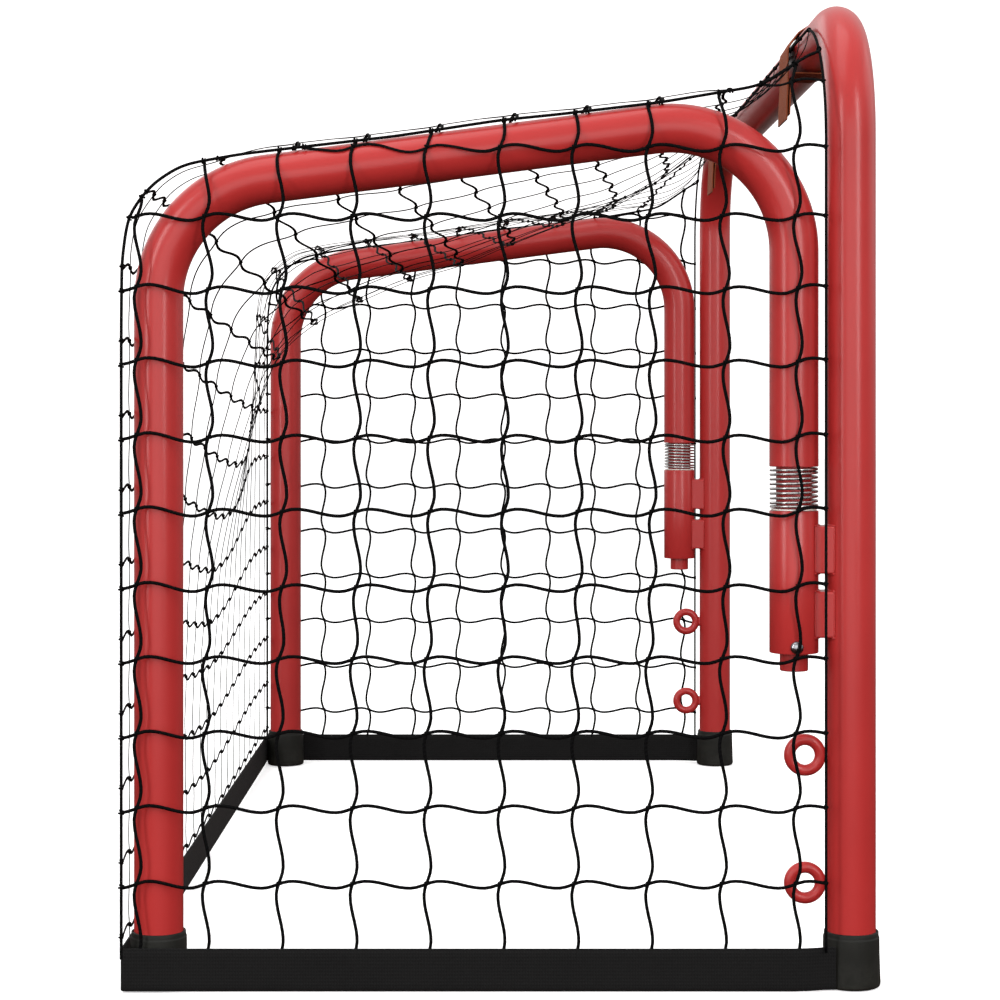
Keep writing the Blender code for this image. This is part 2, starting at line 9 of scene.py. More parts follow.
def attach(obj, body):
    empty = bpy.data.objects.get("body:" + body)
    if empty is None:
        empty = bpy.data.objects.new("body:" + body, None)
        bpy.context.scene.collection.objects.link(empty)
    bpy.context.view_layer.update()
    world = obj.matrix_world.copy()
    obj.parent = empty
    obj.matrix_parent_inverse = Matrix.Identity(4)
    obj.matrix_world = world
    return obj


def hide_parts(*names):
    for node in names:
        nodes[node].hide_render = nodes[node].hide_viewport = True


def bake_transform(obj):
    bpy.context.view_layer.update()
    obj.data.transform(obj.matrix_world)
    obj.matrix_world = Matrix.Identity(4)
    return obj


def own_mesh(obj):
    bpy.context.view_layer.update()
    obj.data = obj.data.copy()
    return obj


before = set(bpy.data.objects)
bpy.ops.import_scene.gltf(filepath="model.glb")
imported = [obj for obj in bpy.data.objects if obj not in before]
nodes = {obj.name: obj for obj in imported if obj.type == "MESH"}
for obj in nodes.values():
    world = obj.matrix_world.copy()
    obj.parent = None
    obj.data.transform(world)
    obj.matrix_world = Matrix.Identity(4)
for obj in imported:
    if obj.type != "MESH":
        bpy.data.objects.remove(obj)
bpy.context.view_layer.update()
ROOT = "front_frame"

# ------------------------------------------------------------ sizes, in metres
POST_X, POST_Y, BAR_Z = 0.440, -0.2131, 0.595
TUBE_R, TUBE_WALL, BEND_R, TUBE_FOOT_Z = 0.015, 0.0012, 0.075, 0.004
HINGE_Y, REAR_Y = POST_Y + 0.035, 0.2104
LEG_END_Z, FRONT_TOP_Z, REAR_TOP_Z = 0.3170, 0.5342, 0.4843
NET_X, NET_REAR_Y, NET_FRONT_Y = 0.4588, 0.2304, -0.1951
CORD_W, CORD_T = 0.00104, 0.00050     # half sizes of the flat net cord
WAVE = 0.0021                         # half height of the cord's wave
PITCH = 0.045
SAG = 1.0

SIDES = {"left": -1.0, "right": 1.0}

# ------------------------------------------------------------ camera
cam_data = bpy.data.cameras.new("camera")
cam_data.lens = 84.4
cam_data.sensor_width = 36.0
cam_data.shift_x = 0.0074
cam_data.shift_y = -0.096
cam_data.clip_start = 0.05
cam_data.clip_end = 50.0
cam = bpy.data.objects.new("camera", cam_data)
cam.location = (-1.874, 0.0062, 0.3552)
cam.rotation_euler = (math.radians(90.0), 0.0, math.radians(-90.0))
bpy.context.scene.collection.objects.link(cam)
bpy.context.scene.camera = cam


# ------------------------------------------------------------ materials
def start_material(name):
    m = bpy.data.materials.new(name)
    m.use_nodes = True
    nt = m.node_tree
    return m, nt, nt.nodes["Principled BSDF"]


def node(nt, kind, **values):
    n = nt.nodes.new(kind)
    for key, value in values.items():
        if key in n.inputs:
            n.inputs[key].default_value = value
        else:
            setattr(n, key, value)
    return n


def noise(nt, coords, scale, detail=3.0, rough=0.5):
    n = node(nt, "ShaderNodeTexNoise", Scale=scale, Detail=detail, Roughness=rough)
    nt.links.new(coords, n.inputs["Vector"])
    return n.outputs["Fac"]


def ramp(nt, fac, stops):
    n = nt.nodes.new("ShaderNodeValToRGB")
    el = n.color_ramp.elements
    while len(el) < len(stops):
        el.new(0.5)
    for e, (pos, col) in zip(el, stops):
        e.position = pos
        e.color = (*col, 1.0)
    nt.links.new(fac, n.inputs["Fac"])
    return n.outputs["Color"]


def span(nt, fac, low, high, a=0.0, b=1.0):
    n = node(nt, "ShaderNodeMapRange")
    n.inputs["From Min"].default_value = a
    n.inputs["From Max"].default_value = b
    n.inputs["To Min"].default_value = low
    n.inputs["To Max"].default_value = high
    nt.links.new(fac, n.inputs["Value"])
    return n.outputs["Result"]


def maths(nt, op, a, b=None, c=None):
    n = nt.nodes.new("ShaderNodeMath")
    n.operation = op
    for slot, v in zip(n.inputs, (a, b, c)):
        if v is None:
            continue
        if isinstance(v, (int, float)):
            slot.default_value = v
        else:
            nt.links.new(v, slot)
    return n.outputs[0]


def mix(nt, fac, a, b, blend="MIX"):
    n = nt.nodes.new("ShaderNodeMix")
    n.data_type = "RGBA"
    n.blend_type = blend
    for slot, v in ((n.inputs[0], fac), (n.inputs[6], a), (n.inputs[7], b)):
        if isinstance(v, (int, float)):
            slot.default_value = v
        elif isinstance(v, tuple):
            slot.default_value = (*v, 1.0)
        else:
            nt.links.new(v, slot)
    return n.outputs[2]


def bump(nt, bsdf, *layers):
    last = None
    for height, strength, distance in layers:
        n = node(nt, "ShaderNodeBump", Strength=strength, Distance=distance)
        nt.links.new(height, n.inputs["Height"])
        if last is not None:
            nt.links.new(last, n.inputs["Normal"])
        last = n.outputs["Normal"]
    nt.links.new(last, bsdf.inputs["Normal"])


def object_coords(nt):
    return nt.nodes.new("ShaderNodeTexCoord").outputs["Object"]


def uv_parts(nt):
    uv = node(nt, "ShaderNodeUVMap", uv_map="UVMap")
    sep = nt.nodes.new("ShaderNodeSeparateXYZ")
    nt.links.new(uv.outputs["UV"], sep.inputs[0])
    return sep.outputs["X"], sep.outputs["Y"]


def red_paint():
    """Sprayed and baked enamel: slight orange peel, uneven gloss, fine dust."""
    m, nt, b = start_material("enamel_red")
    co = object_coords(nt)
    broad = noise(nt, co, 9.0, 3.0)
    fine = noise(nt, co, 620.0, 2.0)
    col = ramp(nt, broad, [(0.28, (0.385, 0.0235, 0.0225)), (0.72, (0.445, 0.0290, 0.0275))])
    specks = span(nt, noise(nt, co, 260.0, 4.0, 0.7), 0.0, 1.0, 0.66, 0.74)
    col = mix(nt, maths(nt, "MULTIPLY", specks, 0.35), col, (0.28, 0.028, 0.025))
    nt.links.new(col, b.inputs["Base Color"])
    rough = maths(nt, "ADD", span(nt, noise(nt, co, 34.0, 4.0), 0.26, 0.34), maths(nt, "MULTIPLY", specks, 0.06))
    nt.links.new(rough, b.inputs["Roughness"])
    b.inputs["Coat Weight"].default_value = 0.09
    b.inputs["Coat Roughness"].default_value = 0.17
    b.inputs["Specular IOR Level"].default_value = 0.32
    peel = noise(nt, co, 330.0, 2.0)
    bump(nt, b, (peel, 0.06, 0.00020), (fine, 0.03, 0.0001))
    return m


def rubber():
    m, nt, b = start_material("moulded_rubber")
    co = object_coords(nt)
    sep = nt.nodes.new("ShaderNodeSeparateXYZ")
    nt.links.new(co, sep.inputs[0])
    dust = maths(nt, "MULTIPLY", span(nt, noise(nt, co, 130.0, 6.0, 0.7), 0.0, 1.0, 0.40, 0.70), span(nt, sep.outputs["Z"], 0.55, 0.06, 0.0, 0.022))
    base = ramp(nt, noise(nt, co, 60.0, 4.0), [(0.3, (0.0060, 0.0062, 0.0048)), (0.7, (0.0100, 0.0104, 0.0082))])
    nt.links.new(mix(nt, dust, base, (0.030, 0.030, 0.025)), b.inputs["Base Color"])
    nt.links.new(span(nt, noise(nt, co, 90.0, 5.0), 0.48, 0.72), b.inputs["Roughness"])
    b.inputs["Specular IOR Level"].default_value = 0.22
    bump(nt, b, (noise(nt, co, 1500.0, 3.0), 0.25, 0.00012), (noise(nt, co, 240.0, 4.0), 0.15, 0.0003))
    return m


def bright_steel(name, colour, scale, low, high):
    m, nt, b = start_material(name)
    co = object_coords(nt)
    streak = node(nt, "ShaderNodeMapping")
    streak.inputs["Scale"].default_value = (1.0, 1.0, 6.0)
    nt.links.new(co, streak.inputs["Vector"])
    grain = noise(nt, streak.outputs["Vector"], scale, 5.0, 0.6)
    dark = tuple(c * 0.72 for c in colour)
    nt.links.new(ramp(nt, grain, [(0.3, dark), (0.65, colour)]), b.inputs["Base Color"])
    b.inputs["Metallic"].default_value = 1.0
    nt.links.new(span(nt, grain, low, high), b.inputs["Roughness"])
    bump(nt, b, (grain, 0.12, 0.00008))
    return m


def moulded_nylon():
    m, nt, b = start_material("moulded_nylon")
    co = object_coords(nt)
    nt.links.new(ramp(nt, noise(nt, co, 180.0, 4.0), [(0.3, (0.70, 0.68, 0.62)), (0.7, (0.80, 0.79, 0.74))]), b.inputs["Base Color"])
    nt.links.new(span(nt, noise(nt, co, 300.0, 4.0), 0.38, 0.55), b.inputs["Roughness"])
    b.inputs["Subsurface Weight"].default_value = 0.1
    b.inputs["Subsurface Scale"].default_value = 0.002
    bump(nt, b, (noise(nt, co, 900.0, 3.0), 0.15, 0.0001))
    return m


def cord_fibre(name, strand, twist, dark, light, depth):
    """Twisted cord: slanting strands from the piece's own UV, with loose fibres."""
    m, nt, b = start_material(name)
    around, along = uv_parts(nt)
    turn = maths(nt, "ADD", maths(nt, "MULTIPLY", along, 1.0 / strand), maths(nt, "MULTIPLY", around, twist))
    wave = maths(nt, "SINE", maths(nt, "MULTIPLY", turn, 2.0 * math.pi))
    lay = maths(nt, "MULTIPLY_ADD", wave, 0.5, 0.5)
    co = object_coords(nt)
    fibre = noise(nt, co, 2600.0, 4.0, 0.65)
    col = ramp(nt, lay, [(0.1, dark), (0.9, light)])
    fade = noise(nt, co, 24.0, 3.0)
    col = mix(nt, maths(nt, "MULTIPLY", fade, 0.5), col, tuple(c * 1.4 for c in light))
    nt.links.new(col, b.inputs["Base Color"])
    nt.links.new(span(nt, fibre, 0.62, 0.88), b.inputs["Roughness"])
    b.inputs["Specular IOR Level"].default_value = 0.05
    bump(nt, b, (lay, 0.8, depth), (fibre, 0.35, 0.0001))
    return m


def webbing():
    """Flat woven tape: a twill of small slanting ribs with a firm selvedge."""
    m, nt, b = start_material("woven_webbing")
    along, across = uv_parts(nt)
    warp = maths(nt, "SINE", maths(nt, "MULTIPLY", across, 2.0 * math.pi / 0.0021))
    weft = maths(nt, "SINE", maths(nt, "ADD", maths(nt, "MULTIPLY", along, 2.0 * math.pi / 0.0017), maths(nt, "MULTIPLY", warp, 1.4)))
    weave = maths(nt, "MULTIPLY_ADD", maths(nt, "ADD", maths(nt, "MULTIPLY", warp, 0.4), maths(nt, "MULTIPLY", weft, 0.6)), 0.5, 0.5)
    edge = span(nt, maths(nt, "ABSOLUTE", maths(nt, "SUBTRACT", across, 0.013)), 0.0, 1.0, 0.0112, 0.0118)
    co = object_coords(nt)
    fibre = noise(nt, co, 1900.0, 4.0, 0.6)
    col = ramp(nt, weave, [(0.15, (0.0026, 0.0026, 0.0027)), (0.85, (0.0075, 0.0075, 0.0077))])
    col = mix(nt, maths(nt, "MULTIPLY", noise(nt, co, 38.0, 4.0), 0.35), col, (0.013, 0.013, 0.0125))
    col = mix(nt, maths(nt, "MULTIPLY", edge, 0.5), col, (0.004, 0.004, 0.004))
    nt.links.new(col, b.inputs["Base Color"])
    nt.links.new(span(nt, fibre, 0.62, 0.85), b.inputs["Roughness"])
    b.inputs["Specular IOR Level"].default_value = 0.12
    b.inputs["Sheen Weight"].default_value = 0.02
    bump(nt, b, (weave, 0.75, 0.00022), (fibre, 0.3, 0.0001))
    return m


def hook_loop():
    """Hook-and-loop tape: a napped face over a fine woven ground."""
    m, nt, b = start_material("napped_tie_tape")
    along, across = uv_parts(nt)
    ground = maths(nt, "MULTIPLY", maths(nt, "SINE", maths(nt, "MULTIPLY", along, 2.0 * math.pi / 0.0013)), maths(nt, "SINE", maths(nt, "MULTIPLY", across, 2.0 * math.pi / 0.0016)))
    co = object_coords(nt)
    nap = noise(nt, co, 1150.0, 6.0, 0.75)
    patch = noise(nt, co, 75.0, 4.0)
    col = ramp(nt, nap, [(0.30, (0.150, 0.026, 0.010)), (0.70, (0.300, 0.068, 0.020))])
    col = mix(nt, maths(nt, "MULTIPLY", patch, 0.4), col, (0.26, 0.085, 0.036))
    nt.links.new(col, b.inputs["Base Color"])
    nt.links.new(span(nt, nap, 0.75, 0.95), b.inputs["Roughness"])
    b.inputs["Specular IOR Level"].default_value = 0.2
    b.inputs["Sheen Weight"].default_value = 0.04
    b.inputs["Sheen Roughness"].default_value = 0.4
    b.inputs["Sheen Tint"].default_value = (0.9, 0.55, 0.45, 1.0)
    bump(nt, b, (maths(nt, "MULTIPLY_ADD", ground, 0.5, 0.5), 0.4, 0.00018), (nap, 0.8, 0.0005))
    return m


PAINT = red_paint()
RUBBER = rubber()
SPRING = bright_steel("drawn_spring_wire", (0.56, 0.552, 0.545), 900.0, 0.18, 0.36)
SCREW = bright_steel("plated_screw", (0.34, 0.34, 0.36), 700.0, 0.16, 0.30)
NYLON = moulded_nylon()
CORD = cord_fibre("flat_net_cord", 0.0026, 1.0, (0.0008, 0.0008, 0.0009), (0.0028, 0.0028, 0.0030), 0.00014)
ROPE = cord_fibre("twisted_edge_rope", 0.0034, 2.0, (0.0008, 0.0008, 0.0009), (0.0034, 0.0034, 0.0036), 0.00022)
WEB = webbing()
TIE = hook_loop()


# ------------------------------------------------------------ mesh building
class Soup:
    """Closed shells gathered into one mesh, each face with its UV."""

    def __init__(self):
        self.verts, self.faces, self.uvs, self.count = [], [], [], 0

    def add(self, verts, faces, uvs):
        self.verts.append(np.asarray(verts, float))
        for f, uv in zip(faces, uvs):
            self.faces.append([i + self.count for i in f])
            self.uvs.extend(uv)
        self.count += len(verts)

    def build(self, name, mat, smooth=True, angle=40.0):
        me = bpy.data.meshes.new(name)
        me.from_pydata(np.concatenate(self.verts).tolist(), [], self.faces)
        layer = me.uv_layers.new(name="UVMap")
        layer.data.foreach_set("uv", np.asarray(self.uvs, np.float32).ravel())
        me.materials.append(mat)
        if smooth:
            me.shade_smooth()
            if angle is not None:
                me.set_sharp_from_angle(angle=math.radians(angle))
        me.validate()
        obj = bpy.data.objects.new(name, me)
        bpy.context.scene.collection.objects.link(obj)
        return obj


def unit(a):
    n = np.linalg.norm(a, axis=-1, keepdims=True)
    return a / np.maximum(n, 1e-12)


def sweep(soup, points, normals, half_w, half_t, sides=8, start_v=0.0):
    """A closed cord along points; it is half_t thick along the normals."""
    P = np.asarray(points, float)
    if len(P) < 2:
        return
    T = np.empty_like(P)
    T[1:-1] = P[2:] - P[:-2]
    T[0], T[-1] = P[1] - P[0], P[-1] - P[-2]
    T = unit(T)
    N = np.broadcast_to(np.asarray(normals, float), P.shape)
    N = unit(N - (N * T).sum(1, keepdims=True) * T)
    B = np.cross(T, N)
    a = 2.0 * np.pi * np.arange(sides) / sides
    half_w = np.broadcast_to(np.asarray(half_w, float), (len(P),))
    half_t = np.broadcast_to(np.asarray(half_t, float), (len(P),))
    rings = (
        P[:, None, :]
        + np.cos(a)[None, :, None] * half_w[:, None, None] * B[:, None, :]
        + np.sin(a)[None, :, None] * half_t[:, None, None] * N[:, None, :]
    )
    along = start_v + np.concatenate([[0.0], np.cumsum(np.linalg.norm(np.diff(P, axis=0), axis=1))])
    faces, uvs = [], []
    for i in range(len(P) - 1):
        for k in range(sides):
            k2 = (k + 1) % sides
            faces.append((i * sides + k, i * sides + k2, (i + 1) * sides + k2, (i + 1) * sides + k))
            u0, u1, v0, v1 = k / sides, (k + 1) / sides, along[i], along[i + 1]
            uvs.append(((u0, v0), (u1, v0), (u1, v1), (u0, v1)))
    last = (len(P) - 1) * sides
    faces.append(tuple(reversed(range(sides))))
    uvs.append(tuple((0.5, along[0]) for _ in range(sides)))
    faces.append(tuple(range(last, last + sides)))
    uvs.append(tuple((0.5, along[-1]) for _ in range(sides)))
    soup.add(rings.reshape(-1, 3), faces, uvs)


def flip(soup_obj):
    """Makes all shells face outwards."""
    bm = bmesh.new()
    bm.from_mesh(soup_obj.data)
    bmesh.ops.recalc_face_normals(bm, faces=bm.faces)
    bm.to_mesh(soup_obj.data)
    bm.free()
    return soup_obj


def fillet(points, radius, steps):
    pts = [Vector(p) for p in points]
    out = [pts[0]]
    for a, b, c in zip(pts, pts[1:], pts[2:]):
        u, v = (a - b).normalized(), (c - b).normalized()
        half = u.angle(v) / 2.0
        reach = radius / math.tan(half)
        start, end = b + u * reach, b + v * reach
        centre = b + (u + v).normalized() * (radius / math.sin(half))
        turn = math.pi - 2.0 * half
        axis = (start - centre).cross(end - centre).normalized()
        for k in range(steps + 1):
            out.append(centre + Matrix.Rotation(turn * k / steps, 3, axis) @ (start - centre))
    out.append(pts[-1])
    return out


def hollow_tube(name, points, plane_normal, sides=56):
    """Open tube with its wall and small chamfers at both ends, as one closed skin."""
    P = np.array([tuple(p) for p in points], float)
    T = np.empty_like(P)
    T[1:-1] = unit(P[2:] - P[1:-1]) + unit(P[1:-1] - P[:-2])
    T[0], T[-1] = P[1] - P[0], P[-1] - P[-2]
    T = unit(T)
    B = np.array(plane_normal, float)
    d0, d1 = unit(P[1] - P[0]), unit(P[-1] - P[-2])
    c = 0.00035
    stations = [(P[0], T[0], TUBE_R - c), (P[0] + d0 * c, T[0], TUBE_R)]
    # long straight runs get a few extra rings, so that the shading stays even
    for i in range(1, len(P) - 1):
        gap = np.linalg.norm(P[i] - P[i - 1])
        if gap > 0.03:
            for q in (0.004 / gap, 1.0 - 0.004 / gap):
                if i > 1 or q > 0.5:
                    stations.append((P[i - 1] + (P[i] - P[i - 1]) * q, unit(P[i] - P[i - 1]), TUBE_R))
        stations.append((P[i], T[i], TUBE_R))
    stations += [(P[-1] - d1 * 0.004, T[-1], TUBE_R), (P[-1] - d1 * c, T[-1], TUBE_R), (P[-1], T[-1], TUBE_R - c)]
    inner = [(p, t, TUBE_R - TUBE_WALL) for p, t, r in reversed(stations) if r == TUBE_R]
    inner = [(P[-1], T[-1], TUBE_R - TUBE_WALL + 0.0002)] + inner + [(P[0], T[0], TUBE_R - TUBE_WALL + 0.0002)]
    loop = stations + inner
    a = 2.0 * np.pi * np.arange(sides) / sides
    verts, uvs, faces = [], [], []
    along = 0.0
    length = [0.0]
    for (p0, _, _), (p1, _, _) in zip(loop, loop[1:]):
        along += float(np.linalg.norm(p1 - p0))
        length.append(along)
    for p, t, r in loop:
        n = np.cross(t, B)
        verts.append(p + r * (np.cos(a)[:, None] * B + np.sin(a)[:, None] * n))
    m = len(loop)
    for i in range(m):
        j = (i + 1) % m
        v0, v1 = length[i], length[j] if j else length[i] + 0.001
        for k in range(sides):
            k2 = (k + 1) % sides
            faces.append((i * sides + k, i * sides + k2, j * sides + k2, j * sides + k))
            u0, u1 = k / sides * 0.0942, (k + 1) / sides * 0.0942
            uvs.append(((u0, v0), (u1, v0), (u1, v1), (u0, v1)))
    soup = Soup()
    soup.add(np.concatenate(verts), faces, uvs)
    return flip(soup.build(name, PAINT, angle=30.0))


def lathe(soup, profile, centre, axis=(0, 0, 1), sides=64, closed=True):
    """A turned shape from (radius, height) pairs about an axis through centre."""
    ax = Vector(axis).normalized()
    rot = Vector((0, 0, 1)).rotation_difference(ax).to_matrix()
    rot = np.array(rot)
    verts, index, faces, uvs = [], [], [], []
    a = 2.0 * np.pi * np.arange(sides) / sides
    for r, z in profile:
        if r < 1e-7:
            index.append([len(verts)] * sides)
            verts.append((0.0, 0.0, z))
        else:
            index.append(list(range(len(verts), len(verts) + sides)))
            verts.extend(np.stack([r * np.cos(a), r * np.sin(a), np.full(sides, z)], 1).tolist())
    pairs = list(zip(range(len(profile)), range(1, len(profile))))
    if closed:
        pairs.append((len(profile) - 1, 0))
    for i, j in pairs:
        if profile[i][0] < 1e-7 and profile[j][0] < 1e-7:
            continue
        for k in range(sides):
            k2 = (k + 1) % sides
            f = []
            for v in (index[i][k], index[i][k2], index[j][k2], index[j][k]):
                if v not in f:
                    f.append(v)
            faces.append(tuple(f))
            uvs.append(tuple((0.5, 0.5) for _ in f))
    world = np.array(verts) @ rot.T + np.array(centre)
    soup.add(world, faces, uvs)


def ribbon(soup, path, direction, width, thickness, crown=0.0, lanes=8, v0=0.0):
    """A tape along path, with rounded edges; direction is across its width."""
    P = np.array([tuple(p) for p in path], float)
    T = np.empty_like(P)
    T[1:-1] = unit(P[2:] - P[1:-1]) + unit(P[1:-1] - P[:-2])
    T[0], T[-1] = P[1] - P[0], P[-1] - P[-2]
    T = unit(T)
    D = np.array(direction, float)
    N = unit(np.cross(T, D))
    along = v0 + np.concatenate([[0.0], np.cumsum(np.linalg.norm(np.diff(P, axis=0), axis=1))])
    w, h = width / 2.0, thickness / 2.0
    xs = np.linspace(-w + h, w - h, lanes)
    section = [(x, h + crown * (1 - (x / w) ** 2)) for x in xs]
    section += [(w - h * 0.25, h * 0.7), (w, 0.0), (w - h * 0.25, -h * 0.7)]
    section += [(x, -h + crown * (1 - (x / w) ** 2)) for x in xs[::-1]]
    section += [(-w + h * 0.25, -h * 0.7), (-w, 0.0), (-w + h * 0.25, h * 0.7)]
    S = np.array(section)
    k = len(S)
    rings = P[:, None, :] + S[None, :, 0, None] * D + S[None, :, 1, None] * N[:, None, :]
    faces, uvs = [], []
    for i in range(len(P) - 1):
        for q in range(k):
            q2 = (q + 1) % k
            faces.append((i * k + q, i * k + q2, (i + 1) * k + q2, (i + 1) * k + q))
            c0, c1 = S[q, 0] + w, S[q2, 0] + w
            uvs.append(((along[i], c0), (along[i], c1), (along[i + 1], c1), (along[i + 1], c0)))
    last = (len(P) - 1) * k
    half = lanes + 1
    for base, rev, v in ((0, True, along[0]), (last, False, along[-1])):
        ids = list(range(base, base + k))
        for q in range(lanes - 1):
            f = [ids[q], ids[q + 1], ids[2 * lanes + 1 - q], ids[2 * lanes + 2 - q]]
            g = f[::-1] if rev else f
            faces.append(tuple(g))
            uvs.append(tuple((v, S[i - base, 0] + w) for i in g))
        right = [ids[lanes - 1], ids[lanes], ids[lanes + 1], ids[lanes + 2], ids[lanes + 3]]
        left = [ids[0], ids[2 * lanes + 2], ids[2 * lanes + 3], ids[2 * lanes + 4], ids[2 * lanes + 5]]
        for f in (right, left):
            g = f[::-1] if rev else f
            faces.append(tuple(g))
            uvs.append(tuple((v, S[i - base, 0] + w) for i in g))
    soup.add(rings.reshape(-1, 3), faces, uvs)


# ------------------------------------------------------------ painted frame
def settle(obj, body, slot_name, *stands_for):
    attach(obj, body)
    if stands_for:
        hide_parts(*stands_for)
    return obj


front_path = fillet(
    [
        (-POST_X, POST_Y, TUBE_FOOT_Z),
        (-POST_X, POST_Y, BAR_Z),
        (POST_X, POST_Y, BAR_Z),
        (POST_X, POST_Y, TUBE_FOOT_Z),
    ],
    BEND_R,
    28,
)
settle(hollow_tube("front_tube_skin", front_path, (0, 1, 0)), ROOT, "red_powder_coat", "front_frame_tube")


def wobble(points, amount, step):
    """Small even unevenness for weld beads, the same each run."""
    out = []
    for i, p in enumerate(points):
        out.append(amount * (0.6 * math.sin(i * step) + 0.4 * math.sin(i * step * 2.37 + 1.1)))
    return np.array(out)


def bead(soup, points, normal, radius):
    """A weld run: a cord of overlapping small ripples."""
    P = np.array([tuple(p) for p in points], float)
    d = np.linalg.norm(np.diff(P, axis=0), axis=1).sum()
    n = max(8, int(d / 0.00035))
    s = np.concatenate([[0.0], np.cumsum(np.linalg.norm(np.diff(P, axis=0), axis=1))])
    t = np.linspace(0, s[-1], n)
    Q = np.stack([np.interp(t, s, P[:, i]) for i in range(3)], 1)
    r = radius * (1.0 + 0.13 * np.abs(np.sin(np.pi * t / 0.0013)) + wobble(Q, 0.05, 0.41))
    fade = np.clip(np.minimum(t, s[-1] - t) / 0.0012, 0.25, 1.0)
    sweep(soup, Q, normal, r * fade, r * fade, sides=10)


for side, s in SIDES.items():
    x = s * POST_X
    collar, swing = side + "_collar", side + "_side"

    legs = fillet(
        [
            (x, HINGE_Y, LEG_END_Z),
            (x, HINGE_Y, FRONT_TOP_Z),
            (x, REAR_Y, REAR_TOP_Z),
            (x, REAR_Y, TUBE_FOOT_Z),
        ],
        BEND_R,
        26,
    )
    settle(hollow_tube(side + "_side_tube_skin", legs, (1, 0, 0)), swing, "red_powder_coat", side + "_side_frame_tube")

    # -- hinge sleeve, its ends broken by a small radius
    soup = Soup()
    lathe(
        soup,
        [
            (0.0113, 0.2899), (0.0115, 0.2901), (0.0145, 0.2901), (0.01485, 0.28995), (0.0150, 0.2896),
            (0.0150, 0.2038), (0.01485, 0.20345), (0.0145, 0.2033), (0.0115, 0.2033), (0.0113, 0.2035),
        ],
        (x, HINGE_Y, 0.0),
        sides=72,
    )
    settle(flip(soup.build(side + "_sleeve_skin", PAINT, angle=25.0)), ROOT, "red_powder_coat", side + "_hinge_sleeve")

    # -- weld runs round the blocks, against post and sleeve
    soup = Soup()
    for z0, z1 in ((0.2520, 0.2809), (0.2130, 0.2411)):
        for cy, way in ((POST_Y, 1.0), (HINGE_Y, -1.0)):
            R = TUBE_R + 0.0004
            for f in (-1.0, 1.0):
                ye = cy + way * (math.sqrt(R**2 - 0.0102**2) + 0.0003)
                bead(soup, [(x + f * 0.0100, ye, z0 + 0.0004), (x + f * 0.0100, ye, z1 - 0.0004)], (1, 0, 0), 0.0005)
            for ze in (z0 - 0.0001, z1 + 0.0001):
                arc = []
                for k in range(-8, 9):
                    u = 0.0106 * k / 8
                    arc.append((x + u, cy + way * math.sqrt(R**2 - u**2), ze))
                bead(soup, arc, (0, 0, 1), 0.0007)
    settle(flip(soup.build(side + "_block_welds", PAINT, angle=60.0)), ROOT, "red_powder_coat")

    # -- eyelet rings with their weld to the post
    for level, z in (("lower", 0.0625), ("upper", 0.1406)):
        soup = Soup()
        yc = POST_Y + 0.0283
        t = np.linspace(0, 2 * np.pi, 65)
        verts, faces, uvs = [], [], []
        for i in range(64):
            for k in range(20):
                b = 2 * np.pi * k / 20
                rr = 0.0094 + 0.0035 * math.cos(b)
                verts.append((x + 0.0035 * math.sin(b), yc + rr * math.cos(t[i]), z + rr * math.sin(t[i])))
                faces.append((i * 20 + k, i * 20 + (k + 1) % 20, ((i + 1) % 64) * 20 + (k + 1) % 20, ((i + 1) % 64) * 20 + k))
                uvs.append(((0, 0), (1, 0), (1, 1), (0, 1)))
        soup.add(verts, faces, uvs)
        for f in (-1.0, 1.0):
            bead(soup, [(x + f * 0.0021, POST_Y + 0.0156, z - 0.0040), (x + f * 0.0024, POST_Y + 0.0150, z), (x + f * 0.0021, POST_Y + 0.0156, z + 0.0040)], (1, 0, 0), 0.00125)
        bead(soup, [(x, POST_Y + 0.0158, z - 0.0046), (x, POST_Y + 0.0158, z + 0.0046)], (1, 0, 0), 0.0016)
        settle(flip(soup.build("%s_%s_ring_skin" % (side, level), PAINT, angle=60.0)), ROOT, "red_powder_coat", "%s_%s_eyelet_ring" % (side, level))

    # -- domed screw
    soup = Soup()
    lathe(
        soup,
        [
            (0.0, 0.0177), (0.0009, 0.01766), (0.0018, 0.01750), (0.0026, 0.01722), (0.0033, 0.0168),
            (0.0038, 0.0162), (0.0040, 0.0156), (0.0040, 0.01532), (0.0020, 0.01532), (0.0020, 0.0079), (0.0016, 0.0075), (0.0, 0.0075),
        ],
        (x, HINGE_Y, 0.2076),
        axis=(s, 0, 0),
        sides=40,
        closed=False,
    )
    screw = flip(soup.build(side + "_screw_skin", SCREW, angle=30.0))
    settle(screw, ROOT, "screw_steel", side + "_retaining_screw")

    # -- spring: round wire, closed end turns
    coil = []
    turns, per = 9.0, 36
    count = int(turns * per)
    z0, z1 = 0.2922, 0.3160
    for k in range(count + 1):
        turn = turns * k / count
        dead = 0.9
        pitch = (z1 - z0 - 2.0 * dead * 0.00165) / (turns - 2.0 * dead)
        if turn < dead:
            z = 0.00165 * turn
        elif turn > turns - dead:
            z = z1 - z0 - 0.00165 * (turns - turn)
        else:
            z = 0.00165 * dead + pitch * (turn - dead)
        a = 2.0 * math.pi * turn * -s
        coil.append((x + 0.0141 * math.cos(a), HINGE_Y + 0.0141 * math.sin(a), z0 + z))
    soup = Soup()
    sweep(soup, coil, (0, 0, 1), 0.0008, 0.0008, sides=12)
    spring = flip(soup.build(side + "_spring_wire", SPRING, angle=60.0))
    settle(spring, collar, "spring_steel", side + "_hinge_spring")
    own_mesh(spring)

